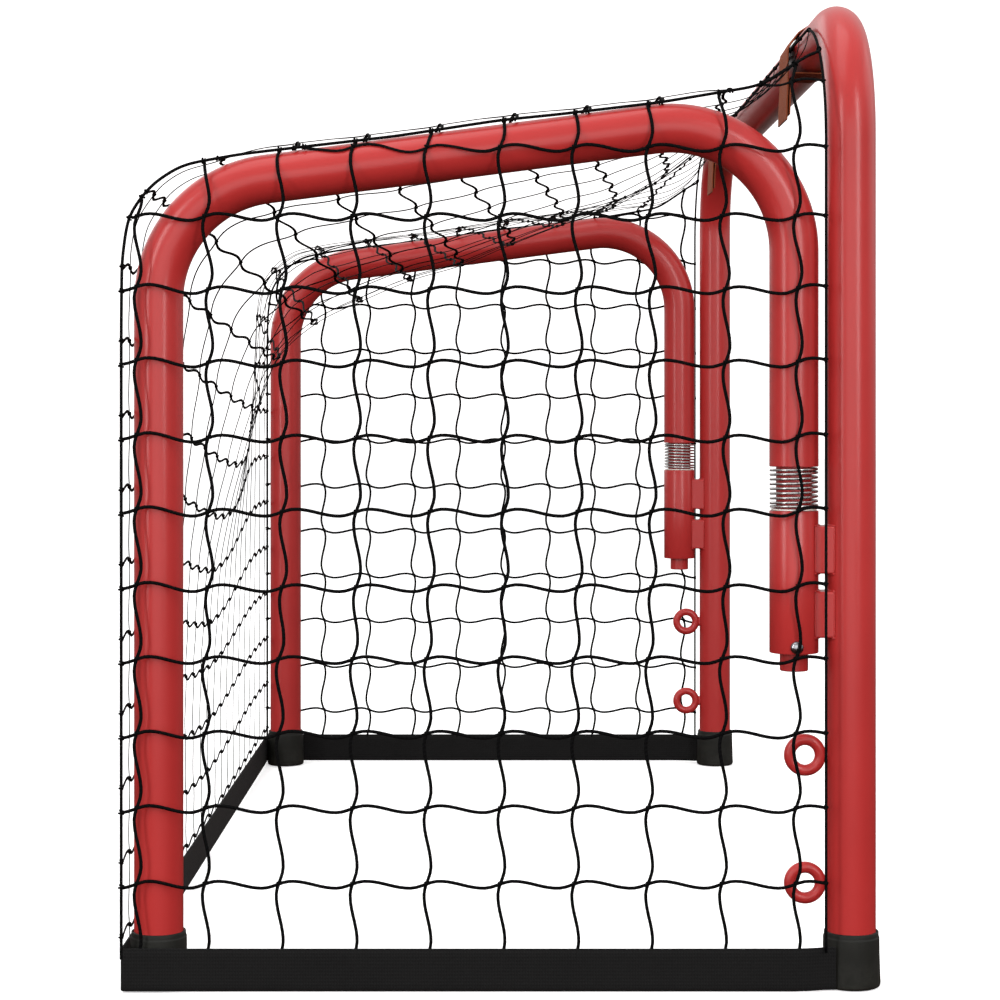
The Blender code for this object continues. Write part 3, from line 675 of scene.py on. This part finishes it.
    # -- rubber feet: tapered cup, rounded rims, a moulding line
    for which, y, body, cad in (("post", POST_Y, ROOT, side + "_post_foot"), ("rear", REAR_Y, swing, side + "_rear_foot")):
        soup = Soup()
        lathe(
            soup,
            [
                (0.01530, 0.0331), (0.01545, 0.0335), (0.0161, 0.0335), (0.01645, 0.03335), (0.0166, 0.0330),
                (0.01666, 0.0310), (0.01675, 0.0304), (0.01705, 0.0301), (0.01712, 0.0296), (0.0172, 0.0220),
                (0.0176, 0.0080), (0.0178, 0.0026), (0.0177, 0.0014), (0.0173, 0.0006), (0.0166, 0.0001),
                (0.0160, 0.0), (0.0, 0.0), (0.0, 0.0035), (0.01530, 0.0035),
            ],
            (x, y, 0.0),
            sides=72,
        )
        settle(flip(soup.build("%s_%s_foot_skin" % (side, which), RUBBER, angle=50.0)), body, "black_rubber", cad)

    for name, mat in (
        (side + "_upper_weld_block", PAINT),
        (side + "_lower_weld_block", PAINT),
        (side + "_hinge_rod", PAINT),
        (side + "_thrust_washer", NYLON),
    ):
        nodes[name].data.materials.clear()
        nodes[name].data.materials.append(mat)


# ------------------------------------------------------------ the net's shape
def smooth01(t):
    t = np.clip(t, 0.0, 1.0)
    return t * t * (3.0 - 2.0 * t)


def wave_across(u):
    """Height of a crosswise cord, u of the way from one knot to the next."""
    p = np.mod(u, 1.0)
    p = np.where(p < 0.16, p + 1.0, p)
    return WAVE * np.where(p >= 0.76, -np.cos(np.pi * (p - 0.76) / 0.40), np.cos(np.pi * (p - 0.16) / 0.60))


def wave_down(v):
    """Sideways shift of a lengthwise cord, v of the way down to the next knot."""
    p = np.mod(v, 1.0)
    p = np.where(p < 0.14, p + 1.0, p)
    return WAVE * np.where(p >= 0.76, -np.cos(np.pi * (p - 0.76) / 0.38), np.cos(np.pi * (p - 0.14) / 0.62))


def border_x(z):
    """Distance of the border cord from the middle, by its height."""
    z = np.asarray(z, float)
    t = np.clip((z - 0.515) / 0.0795, 0.0, 1.0)
    return np.where(z > 0.515, 0.365 + 0.0938 * np.sqrt(1.0 - t * t), NET_X)


def border_z(x):
    t = np.clip((np.abs(x) - 0.365) / 0.0938, 0.0, 1.0)
    return 0.515 + 0.0795 * np.sqrt(1.0 - t * t)


rope_pts = np.array(
    [
        (0.4588, 0.2304, 0.0200), (0.4588, 0.2304, 0.1000), (0.4588, 0.2304, 0.2500), (0.4588, 0.2304, 0.4000),
        (0.4588, 0.2300, 0.4421), (0.4575, 0.2264, 0.4693), (0.4545, 0.2131, 0.4880), (0.4500, 0.1950, 0.5006),
        (0.4476, 0.1587, 0.5074), (0.4476, 0.1104, 0.5130), (0.4476, 0.0651, 0.5182), (0.4476, 0.0017, 0.5279),
        (0.4476, -0.0345, 0.5315), (0.4476, -0.0961, 0.5388), (0.4476, -0.1390, 0.5460), (0.4470, -0.1571, 0.5490),
        (0.4420, -0.1788, 0.5635), (0.4304, -0.1915, 0.5720), (0.4304, -0.1951, 0.5722),
    ]
)


def dense(points, step, rounds, window):
    s = np.concatenate([[0.0], np.cumsum(np.linalg.norm(np.diff(points, axis=0), axis=1))])
    n = int(s[-1] / step) + 1
    t = np.linspace(0.0, s[-1], n)
    Q = np.stack([np.interp(t, s, points[:, i]) for i in range(points.shape[1])], 1)
    for _ in range(rounds):
        R = Q.copy()
        for i in range(1, n - 1):
            w = min(window, i, n - 1 - i)
            R[i] = Q[i - w : i + w + 1].mean(0)
        Q = R
    return Q


ROPE_LINE = dense(rope_pts, 0.0015, 3, 4)
ROPE_S = np.concatenate([[0.0], np.cumsum(np.linalg.norm(np.diff(ROPE_LINE, axis=0), axis=1))])
top_part = ROPE_LINE[ROPE_LINE[:, 2] > 0.40]
order = np.argsort(top_part[:, 1])
ROPE_TOP_Y, ROPE_TOP_Z = top_part[order, 1], top_part[order, 2]


def rope_z(y):
    return np.interp(y, ROPE_TOP_Y, ROPE_TOP_Z)


TUBE_LINE = dense(
    np.array(
        [
            tuple(p)
            for p in fillet(
                [(POST_X, HINGE_Y, LEG_END_Z), (POST_X, HINGE_Y, FRONT_TOP_Z), (POST_X, REAR_Y, REAR_TOP_Z), (POST_X, REAR_Y, 0.0)],
                BEND_R,
                26,
            )
        ]
    ),
    0.003,
    0,
    1,
)


def clear_of_tubes(P, gap=0.0009):
    """Net points that come too near a side tube are laid on its surface."""
    P = np.array(P, float)
    Q = P.copy()
    Q[:, 0] = np.abs(Q[:, 0])
    d2 = ((Q[:, None, :] - TUBE_LINE[None, :, :]) ** 2).sum(2)
    k = d2.argmin(1)
    base = TUBE_LINE[k]
    out = Q - base
    # distance from the line itself, not from its nearest point
    t = np.gradient(TUBE_LINE, axis=0)[k]
    t = unit(t)
    out -= (out * t).sum(1, keepdims=True) * t
    r = np.linalg.norm(out, axis=1)
    R = TUBE_R + gap
    push = r < R
    Q[push] += out[push] / np.maximum(r[push], 1e-9)[:, None] * (R - r[push])[:, None]
    Q[:, 0] *= np.where(P[:, 0] < 0, -1.0, 1.0)
    return Q


def side_x(y, z):
    """Distance of the side panel from the middle, where it curls to its edges."""
    q = ROPE_LINE
    d2 = (y[:, None] - q[None, :, 1]) ** 2 + (z[:, None] - q[None, :, 2]) ** 2
    near = d2.argmin(1)
    d = np.sqrt(d2[np.arange(len(y)), near])
    pull = (NET_X - q[near, 0]) * smooth01((0.018 - d) / 0.018)
    front = (NET_X - border_x(z)) * smooth01((-0.12 - y) / 0.0751)
    return NET_X - np.maximum(pull, front)


def catmull(table, v):
    """Smooth value of a table of rows at the fractional row v."""
    t = np.asarray(table, float)
    t = np.concatenate([[2 * t[0] - t[1]], t, [2 * t[-1] - t[-2]]])
    v = np.clip(v, 0.0, len(table) - 1 - 1e-9)
    i = np.floor(v).astype(int)
    f = (v - i)[:, None]
    a, b, c, d = t[i], t[i + 1], t[i + 2], t[i + 3]
    return 0.5 * ((2 * b) + (c - a) * f + (2 * a - 5 * b + 4 * c - d) * f**2 + (3 * b - a - 3 * c + d) * f**3)


# rows of the top and rear panel: where each meets the edge rope
edge_s = []
for r in range(10):
    edge_s.append(np.interp(0.0336 + 0.045 * r, ROPE_LINE[: len(ROPE_LINE) // 2, 2], ROPE_S[: len(ROPE_LINE) // 2]))
for y in (0.2151, 0.173, 0.127, 0.0833, 0.0387, -0.0071, -0.0516, -0.096, -0.139, -0.184):
    k = int(np.abs(ROPE_LINE[:, 1] - y + (ROPE_LINE[:, 2] < 0.40) * 10.0).argmin())
    edge_s.append(ROPE_S[k])
edge_s.append(ROPE_S[-1])
edge_s = np.array(edge_s)
mid_rows = np.array(
    [
        (0.2304, 0.0300), (0.2310, 0.0660), (0.2318, 0.1040), (0.2310, 0.1470), (0.2290, 0.1830), (0.2262, 0.2244),
        (0.2190, 0.2660), (0.2090, 0.3070), (0.1960, 0.3520), (0.1790, 0.3920), (0.1485, 0.4195), (0.1120, 0.4375),
        (0.0720, 0.4545), (0.0305, 0.4670), (-0.0100, 0.4840), (-0.0505, 0.5000), (-0.0910, 0.5140), (-0.1310, 0.5380),
        (-0.1670, 0.5670), (-0.1900, 0.5900), (-0.1951, 0.5945),
    ]
)


def sheet_point(x, v):
    """A point of the top and rear panel: x across, v rows up from the floor."""
    x, v = np.broadcast_arrays(np.asarray(x, float), np.asarray(v, float))
    x, v = x.ravel(), v.ravel()
    low = np.minimum(v, 0.0)
    s_at = catmull(edge_s[:, None], v)[:, 0] + low * PITCH
    edge = np.stack([np.interp(s_at, ROPE_S, ROPE_LINE[:, i]) for i in range(3)], 1)
    mid = catmull(mid_rows, v)
    mid[:, 1] += low * PITCH
    x_edge = edge[:, 0]
    r = np.abs(x) / x_edge
    m = np.where(r < 0.82, 0.5 * (1.0 + np.cos(np.pi * r / 0.82)), 0.0) * SAG
    yz = edge[:, 1:] * (1.0 - m[:, None]) + mid * m[:, None]
    # the first rows behind the mouth climb to the border cord
    f = smooth01((v - 18.6) / 1.4)[:, None]
    front = np.stack([np.full(len(x), NET_FRONT_Y), border_z(x)], 1)
    yz = yz * (1.0 - f) + front * f
    lift = 0.0050 * np.exp(-(((np.abs(x) - 0.4275) / 0.011) ** 2)) * smooth01((v - 10.6) / 1.2) * smooth01((18.6 - v) / 1.0)
    yz[:, 1] += lift
    return np.stack([x, yz[:, 0], yz[:, 1]], 1)


def sheet_x_edge(v):
    s_at = catmull(edge_s[:, None], np.array([float(v)]))[:, 0]
    return float(np.interp(s_at, ROPE_S, ROPE_LINE[:, 0])[0])


def sheet_frame(x, v):
    e = 0.0015
    a = sheet_point(x + e, v) - sheet_point(x - e, v)
    b = sheet_point(x, v + e / PITCH) - sheet_point(x, v - e / PITCH)
    a, b = unit(a), unit(b)
    return a, b, unit(np.cross(b, a))


cords = {k: Soup() for k in SIDES}
knots = {k: Soup() for k in SIDES}
hooks = {k: Soup() for k in SIDES}


def knot(soup, at, along, up, out, size=1.0):
    """A small slanting wrap of cord round a crossing."""
    at, along, up, out = (np.asarray(q, float) for q in (at, along, up, out))
    d = unit(along - up)
    b = unit(along + up)
    t = np.linspace(-1.0, 1.0, 15)
    a = t * 2.0 * np.pi * 0.80
    P = at + size * (
        d[None] * (0.00085 * t)[:, None]
        + b[None] * (0.00110 * np.cos(a))[:, None]
        + out[None] * (0.00072 * np.sin(a))[:, None]
    )
    fade = np.clip((1.0 - np.abs(t)) / 0.15, 0.55, 1.0)
    sweep(soup, P, d, 0.00062 * size * fade, 0.00062 * size * fade, sides=6)


def wrap_round(soup, at, direction, out, radius=0.0016, turns=1.3):
    """A hitch of cord round a rope at a point."""
    at, d = np.asarray(at, float), unit(np.asarray(direction, float))
    o = np.asarray(out, float)
    o = unit(o - (o @ d) * d)
    b = np.cross(d, o)
    t = np.linspace(-1.0, 1.0, 17)
    a = t * np.pi * turns
    P = at + d[None] * (0.0011 * t)[:, None] + o[None] * (radius * np.cos(a))[:, None] + b[None] * (radius * np.sin(a))[:, None]
    sweep(soup, P, d, 0.00062, 0.00062, sides=6)


STEPS = 14                       # points along a cord between two knots


def drift(y, z):
    """How far the middle rows of the left panel's weave hang towards the mouth."""
    amount = smooth01((z - 0.2006) / 0.045) * (1.0 - smooth01((z - 0.4255) / 0.0426))
    amount = amount * smooth01((y - NET_FRONT_Y) / 0.030) * (1.0 - smooth01((y - 0.1900) / 0.030))
    return -0.0021 * amount, -0.0016 * amount


def side_panel(side, s, cols, rows, last_row):
    """cols are knot places along Y, rows knot heights; last_row runs only to the rope."""
    cols, rows = np.array(sorted(cols)), np.array(rows)
    step = PITCH / STEPS
    toward = 1.0 if s < 0 else -1.0          # which way the weave runs along Y
    index = np.arange(len(cols), dtype=float)

    def col_index(y):
        c = np.interp(y, cols, index)
        c = np.where(y < cols[0], (y - cols[0]) / PITCH, c)
        c = np.where(y > cols[-1], index[-1] + (y - cols[-1]) / PITCH, c)
        return c

    def row_index(z):
        c = np.interp(z, rows, np.arange(len(rows), dtype=float))
        c = np.where(z < rows[0], (z - rows[0]) / PITCH, c)
        return np.where(z > rows[-1], len(rows) - 1 + (z - rows[-1]) / PITCH, c)

    def lay(P, soup):
        e = 0.001
        if s < 0:
            dy, dz = drift(P[:, 1], P[:, 2])
            P = np.stack([P[:, 0], P[:, 1] + dy, P[:, 2] + dz], 1)
        y, z = P[:, 1], P[:, 2]
        dx_dy = (side_x(y + e, z) - side_x(y - e, z)) / (2 * e)
        dx_dz = (side_x(y, z + e) - side_x(y, z - e)) / (2 * e)
        n = unit(np.stack([np.ones(len(y)), -dx_dy, -dx_dz], 1))
        n[:, 0] *= s
        sweep(soup, clear_of_tubes(P), n, CORD_W, CORD_T)

    for z_i in list(rows) + [last_row]:
        y = np.arange(NET_FRONT_Y, NET_REAR_Y + step, step)
        z = z_i + wave_across(-toward * col_index(y))
        ok = z < rope_z(y)
        ok &= y <= NET_REAR_Y
        if z_i > 0.5:
            ok &= border_x(z) > 0.366
        stop = len(y) if ok.all() else int(np.argmin(ok))
        if stop < 4:
            continue
        y, z = y[:stop], z[:stop]
        if stop < len(ok):
            y = np.append(y, min(y[-1] + step * 0.5, NET_REAR_Y))
            z = np.append(z, z[-1])
        P = np.stack([s * side_x(y, z), y, z], 1)
        lay(P, cords[side])
        d = np.abs(ROPE_LINE[:, 1] - P[-1, 1]) + np.abs(ROPE_LINE[:, 2] - P[-1, 2])
        k = int(d.argmin())
        q, q2 = ROPE_LINE[k], ROPE_LINE[min(k + 1, len(ROPE_LINE) - 1)]
        wrap_round(knots[side], (s * q[0], q[1], q[2]), (s * (q2[0] - q[0]), q2[1] - q[1], q2[2] - q[2]) if k + 1 < len(ROPE_LINE) else (0, 1, 0), (s, 0, 0))
        wrap_round(knots[side], P[0], (0, 0, 1), (s, 0, 0), 0.00105)

    for y_j in cols:
        z = np.arange(0.0240, 0.60, step)
        y = y_j + toward * wave_down(-row_index(z))
        ok = z < rope_z(y)
        stop = int(np.argmin(ok)) if not ok.all() else len(z)
        z, y = z[:stop], y[:stop]
        z = np.append(z, float(rope_z(y[-1])))
        y = np.append(y, y[-1])
        P = np.stack([s * side_x(y, z), y, z], 1)
        lay(P, cords[side])
        k = int((np.abs(ROPE_LINE[:, 1] - P[-1, 1]) + np.abs(ROPE_LINE[:, 2] - P[-1, 2])).argmin())
        q, q2 = ROPE_LINE[k - 1], ROPE_LINE[min(k + 1, len(ROPE_LINE) - 1)]
        wrap_round(knots[side], (s * ROPE_LINE[k][0], ROPE_LINE[k][1], ROPE_LINE[k][2]), (s * (q2[0] - q[0]), q2[1] - q[1], q2[2] - q[2]), (s, 0, 0))
        for z_i in list(rows) + [last_row]:
            if z_i < float(rope_z(y_j)) - 0.003:
                yy, zz = y_j + toward * 0.00084, z_i + 0.00065
                if s < 0:
                    dy, dz = drift(yy, zz)
                    yy, zz = yy + float(dy), zz + float(dz)
                at = (s * float(side_x(np.array([yy]), np.array([zz]))[0]), yy, zz)
                at = clear_of_tubes([at], 0.0016)[0]
                knot(knots[side], at, (0, toward, 0), (0, 0, 1), (s, 0, 0))


near_rows = [0.0650, 0.1106, 0.1556, 0.2006, 0.2456, 0.2912, 0.3359, 0.3812, 0.4255, 0.4681, 0.5098]
near_cols = [0.1793 - 0.0446 * j for j in range(9)] + [0.2205]
far_rows = [0.0507 + 0.0446 * k for k in range(11)]
far_cols = [0.1745 - 0.0447 * j for j in range(9)] + [0.2192]
side_panel("left", -1.0, near_cols, near_rows, 0.5510)
side_panel("right", 1.0, far_cols, far_rows, 0.0507 + 0.0446 * 11)

# -- top and rear panel
TOP_COLS = [-0.4275 + PITCH * k for k in range(20)]
for x_k in TOP_COLS:
    side = "left" if x_k < 0 else "right"
    v = np.arange(-0.24, 20.0 + 1e-6, 1.0 / STEPS)
    v[-1] = 20.0
    fadeout = smooth01((20.0 - v) / 0.4)
    x = x_k + wave_down(-v) * fadeout
    P = sheet_point(x, v)
    _, _, n = sheet_frame(x, v)
    sweep(cords[side], clear_of_tubes(P), n, CORD_W, CORD_T * 0.64)
    wrap_round(knots[side], P[-1], (1, 0, 0) if abs(x_k) < 0.37 else (1, 0, -math.copysign(0.5, x_k)), (0, 1, 0), 0.00105)
for r in range(19):
    xe = sheet_x_edge(r)
    for side, s in SIDES.items():
        x = np.linspace(0.0, s * xe, int(10.2 * STEPS))
        v = r + wave_across(-(x + 0.4275) / PITCH) / PITCH
        P = sheet_point(x, v)
        _, _, n = sheet_frame(x, v)
        sweep(cords[side], clear_of_tubes(P), n, CORD_W, CORD_T)
        s_at = catmull(edge_s[:, None], np.array([float(r)]))[0, 0]
        q = np.array([np.interp(s_at, ROPE_S, ROPE_LINE[:, i]) for i in range(3)])
        q2 = np.array([np.interp(s_at + 0.002, ROPE_S, ROPE_LINE[:, i]) for i in range(3)])
        q[0] *= s
        q2[0] *= s
        wrap_round(knots[side], q, q2 - q, (s, 0, 0.3), 0.00125)
    for x_k in TOP_COLS:
        side = "left" if x_k < 0 else "right"
        at = clear_of_tubes(sheet_point(np.array([x_k + 0.00084]), np.array([r + 0.00065 / PITCH])), 0.0016)[0]
        a, b, n = sheet_frame(np.array([x_k]), np.array([float(r)]))
        knot(knots[side], at, a[0], b[0], n[0])

# -- ropes along the edges
ropes = {}
for side, s in SIDES.items():
    ropes[side] = Soup()
    line = ROPE_LINE.copy()
    line[:, 0] *= s
    sweep(ropes[side], line, (s, 0.2, 0.1), 0.00098, 0.00098, sides=12)

border = [(-NET_X, NET_FRONT_Y, z) for z in np.linspace(0.0240, 0.510, 60)]
for k in range(0, 33):
    a = math.radians(90.0) * k / 32
    border.append((-0.365 - 0.0938 * math.cos(a), NET_FRONT_Y, 0.515 + 0.0795 * math.sin(a)))
border += [(px, NET_FRONT_Y, 0.5945) for px in np.linspace(-0.36, 0.0, 46)[:-1]]
border = border + [(0.0, NET_FRONT_Y, 0.5945)] + [(-px, py, pz) for px, py, pz in reversed(border)]
soup = Soup()
sweep(soup, border, (0, 1, 0), 0.00088, 0.00088, sides=12)
settle(flip(soup.build("net_border_rope", ROPE, angle=None)), ROOT, "net_cord", "net_border_cord")


# ------------------------------------------------------------ base webbing
def webbing_path(s):
    """The base tape's arc round the post's foot."""
    reach = 0.0178 + 0.0003 + 0.0007
    wrap = []
    for k in range(9):
        a = math.radians(128.0 - 78.0 * k / 8)
        wrap.append((-(POST_X + reach * math.sin(a)), POST_Y - reach * math.cos(a)))
    side_pts = wrap[:1]
    for p in wrap[1:]:
        side_pts.append(p)
    return wrap


tape_half = [(-0.4548, -0.2015), (-0.4556, -0.1941), (-0.4578, -0.1861), (-0.4591, -0.1761)]
tape_half += [(-0.4591, y) for y in np.linspace(-0.160, 0.2270, 60)]
tape_half += [(-0.4588, 0.2290), (-0.4582, 0.2297), (-0.4571, 0.2303)]
tape_half += [(x, 0.2303) for x in np.linspace(-0.450, 0.0, 64)]
for side, s in SIDES.items():
    pts = [(-s * px, py) for px, py in tape_half]
    soup = Soup()
    path = []
    for i, (px, py) in enumerate(pts):
        path.append((px, py, 0.0006 + 0.0130))
    ribbon(soup, path, (0, 0, 1), 0.0260, 0.0014, lanes=7)
    tape = flip(soup.build(side + "_base_tape", WEB, angle=50.0))
    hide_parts("base_strap")
    ropes[side + "_tape"] = tape


# ------------------------------------------------------------ crossbar ties
TIE_X, TIE_W = 0.2680, 0.0460
wrap_r = TUBE_R + 0.0011 + 0.0005
tie_path = [(-0.19440, 0.5510), (-0.19460, 0.5565), (-0.19480, 0.5620), (-0.19510, 0.5675), (-0.19550, 0.5720), (-0.19640, 0.5762), (-0.19820, 0.5788)]
for k in range(0, 16):
    a = math.radians(-78.0 - k * 14.2)
    tie_path.append((POST_Y + wrap_r * math.cos(a), BAR_Z + wrap_r * math.sin(a)))
tie_path += [
    (-0.20060, 0.60620), (-0.19840, 0.60330), (-0.19680, 0.60060), (-0.19520, 0.59830), (-0.19400, 0.59640), (-0.19355, 0.59420),
    (-0.19335, 0.58900), (-0.19345, 0.58400), (-0.19350, 0.57900), (-0.19345, 0.57400), (-0.19320, 0.56850),
    (-0.19290, 0.56200), (-0.19265, 0.55500), (-0.19250, 0.54740),
]
for side, s in SIDES.items():
    soup = Soup()
    ribbon(soup, [(s * TIE_X, y, z) for y, z in tie_path], (1, 0, 0), TIE_W, 0.0010, lanes=13)
    tie = flip(soup.build(side + "_crossbar_tie", TIE, angle=50.0))
    settle(tie, ROOT, "red_tie_strap", side + "_crossbar_strap")

# ------------------------------------------------------------ soft pieces on the folding frame
A = np.array([NET_X, -0.158])
C = np.array([0.0, 0.2308])
for side, s in SIDES.items():
    a, c = np.array([s * A[0], A[1]]), C
    d = unit(c - a)
    n = np.array([d[1], -d[0]]) * (1.0 if s > 0 else -1.0)
    made = [
        (flip(cords[side].build(side + "_net_cords", CORD, angle=None)), (side + "_net_panel", "top_net_panel", "rear_net_panel")),
        (flip(knots[side].build(side + "_net_knots", CORD, angle=None)), ()),
        (flip(ropes[side].build(side + "_net_edge_rope", ROPE, angle=None)), ()),
        (ropes[side + "_tape"], ()),
    ]
    for obj, stands_for in made:
        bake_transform(obj)
        if stands_for:
            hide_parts(*stands_for)


# ------------------------------------------------------------ floor and light
floor_mesh = bpy.data.meshes.new("floor")
floor_mesh.from_pydata([(-14, -14, -0.0004), (14, -14, -0.0004), (14, 14, -0.0004), (-14, 14, -0.0004)], [], [(0, 1, 2, 3)])
floor = bpy.data.objects.new("floor", floor_mesh)
bpy.context.scene.collection.objects.link(floor)
fm, fnt, fb = start_material("pale_floor")
fco = object_coords(fnt)
away = node(fnt, "ShaderNodeVectorMath", operation="LENGTH")
fnt.links.new(fco, away.inputs[0])
plain = ramp(fnt, noise(fnt, fco, 3.0, 2.0), [(0.3, (0.93, 0.93, 0.93)), (0.7, (0.95, 0.95, 0.95))])
fnt.links.new(mix(fnt, span(fnt, away.outputs["Value"], 0.0, 1.0, 0.8, 2.5), plain, (0.985, 0.985, 0.985)), fb.inputs["Base Color"])
fb.inputs["Roughness"].default_value = 0.9
fb.inputs["Specular IOR Level"].default_value = 0.1
floor_mesh.materials.append(fm)
fb.inputs["Emission Color"].default_value = (1.0, 1.0, 1.0, 1.0)
fb.inputs["Emission Strength"].default_value = 0.45

# white paper far round the set, like the floor only there to be seen
room_mesh = bpy.data.meshes.new("backdrop")
rv, rf = [], []
for i in range(17):
    t = -0.12 + (math.pi / 2 - 0.04 + 0.12) * i / 16
    for k in range(48):
        a = 2.0 * math.pi * k / 48
        rv.append((13.5 * math.cos(t) * math.cos(a), 13.5 * math.cos(t) * math.sin(a), 13.5 * math.sin(t)))
for i in range(16):
    for k in range(48):
        rf.append((i * 48 + k, i * 48 + (k + 1) % 48, (i + 1) * 48 + (k + 1) % 48, (i + 1) * 48 + k))
room_mesh.from_pydata(rv, [], rf)
room = bpy.data.objects.new("backdrop", room_mesh)
bpy.context.scene.collection.objects.link(room)
rm, rnt, rb = start_material("white_paper")
rb.inputs["Base Color"].default_value = (0.9, 0.9, 0.9, 1.0)
rb.inputs["Specular IOR Level"].default_value = 0.0
rb.inputs["Roughness"].default_value = 1.0
rb.inputs["Emission Color"].default_value = (1.0, 1.0, 1.0, 1.0)
rb.inputs["Emission Strength"].default_value = 1.1
room_mesh.materials.append(rm)
for seen in (floor, room):
    seen.visible_diffuse = False
    seen.visible_glossy = False
room.visible_shadow = False
room.visible_transmission = False

bpy.context.scene.view_settings.view_transform = "Standard"
bpy.context.scene.view_settings.look = "None"
world = bpy.data.worlds.new("studio")
bpy.context.scene.world = world
world.use_nodes = True
# the light of the room: soft from above, dim along the horizon and below
wnt = world.node_tree
look_up = wnt.nodes.new("ShaderNodeSeparateXYZ")
wnt.links.new(wnt.nodes.new("ShaderNodeTexCoord").outputs["Generated"], look_up.inputs[0])
height = span(wnt, look_up.outputs["Z"], 0.0, 1.0, -1.0, 1.0)
wnt.links.new(ramp(wnt, height, [(0.42, (0.070, 0.026, 0.018)), (0.51, (0.53, 0.495, 0.485)), (0.80, (0.90, 0.90, 0.90))]), wnt.nodes["Background"].inputs["Color"])
wnt.nodes["Background"].inputs["Strength"].default_value = 1.0


def soft_light(name, place, target, size, power):
    data = bpy.data.lights.new(name, "AREA")
    data.shape = "RECTANGLE"
    data.size, data.size_y = size
    data.energy = power
    obj = bpy.data.objects.new(name, data)
    obj.location = place
    obj.rotation_euler = (Vector(target) - Vector(place)).to_track_quat("-Z", "Y").to_euler()
    bpy.context.scene.collection.objects.link(obj)


soft_light("key", (-2.35, -1.10, 1.10), (0, 0, 0.3), (0.50, 1.7), 23.0)
soft_light("fill", (-1.80, 1.75, 0.95), (0, 0, 0.3), (0.50, 1.7), 21.0)
soft_light("top", (-0.5, 0.45, 2.4), (0, 0, 0.3), (1.2, 2.0), 12.0)
soft_light("front", (-2.6, 0.20, 0.55), (0, 0, 0.3), (1.8, 1.3), 13.0)
soft_light("rear", (2.4, 1.6, 1.6), (0, 0, 0.3), (2.2, 2.0), 16.0)
soft_light("mouth", (0.2, -2.8, 1.5), (0, 0, 0.3), (2.4, 2.0), 14.0)
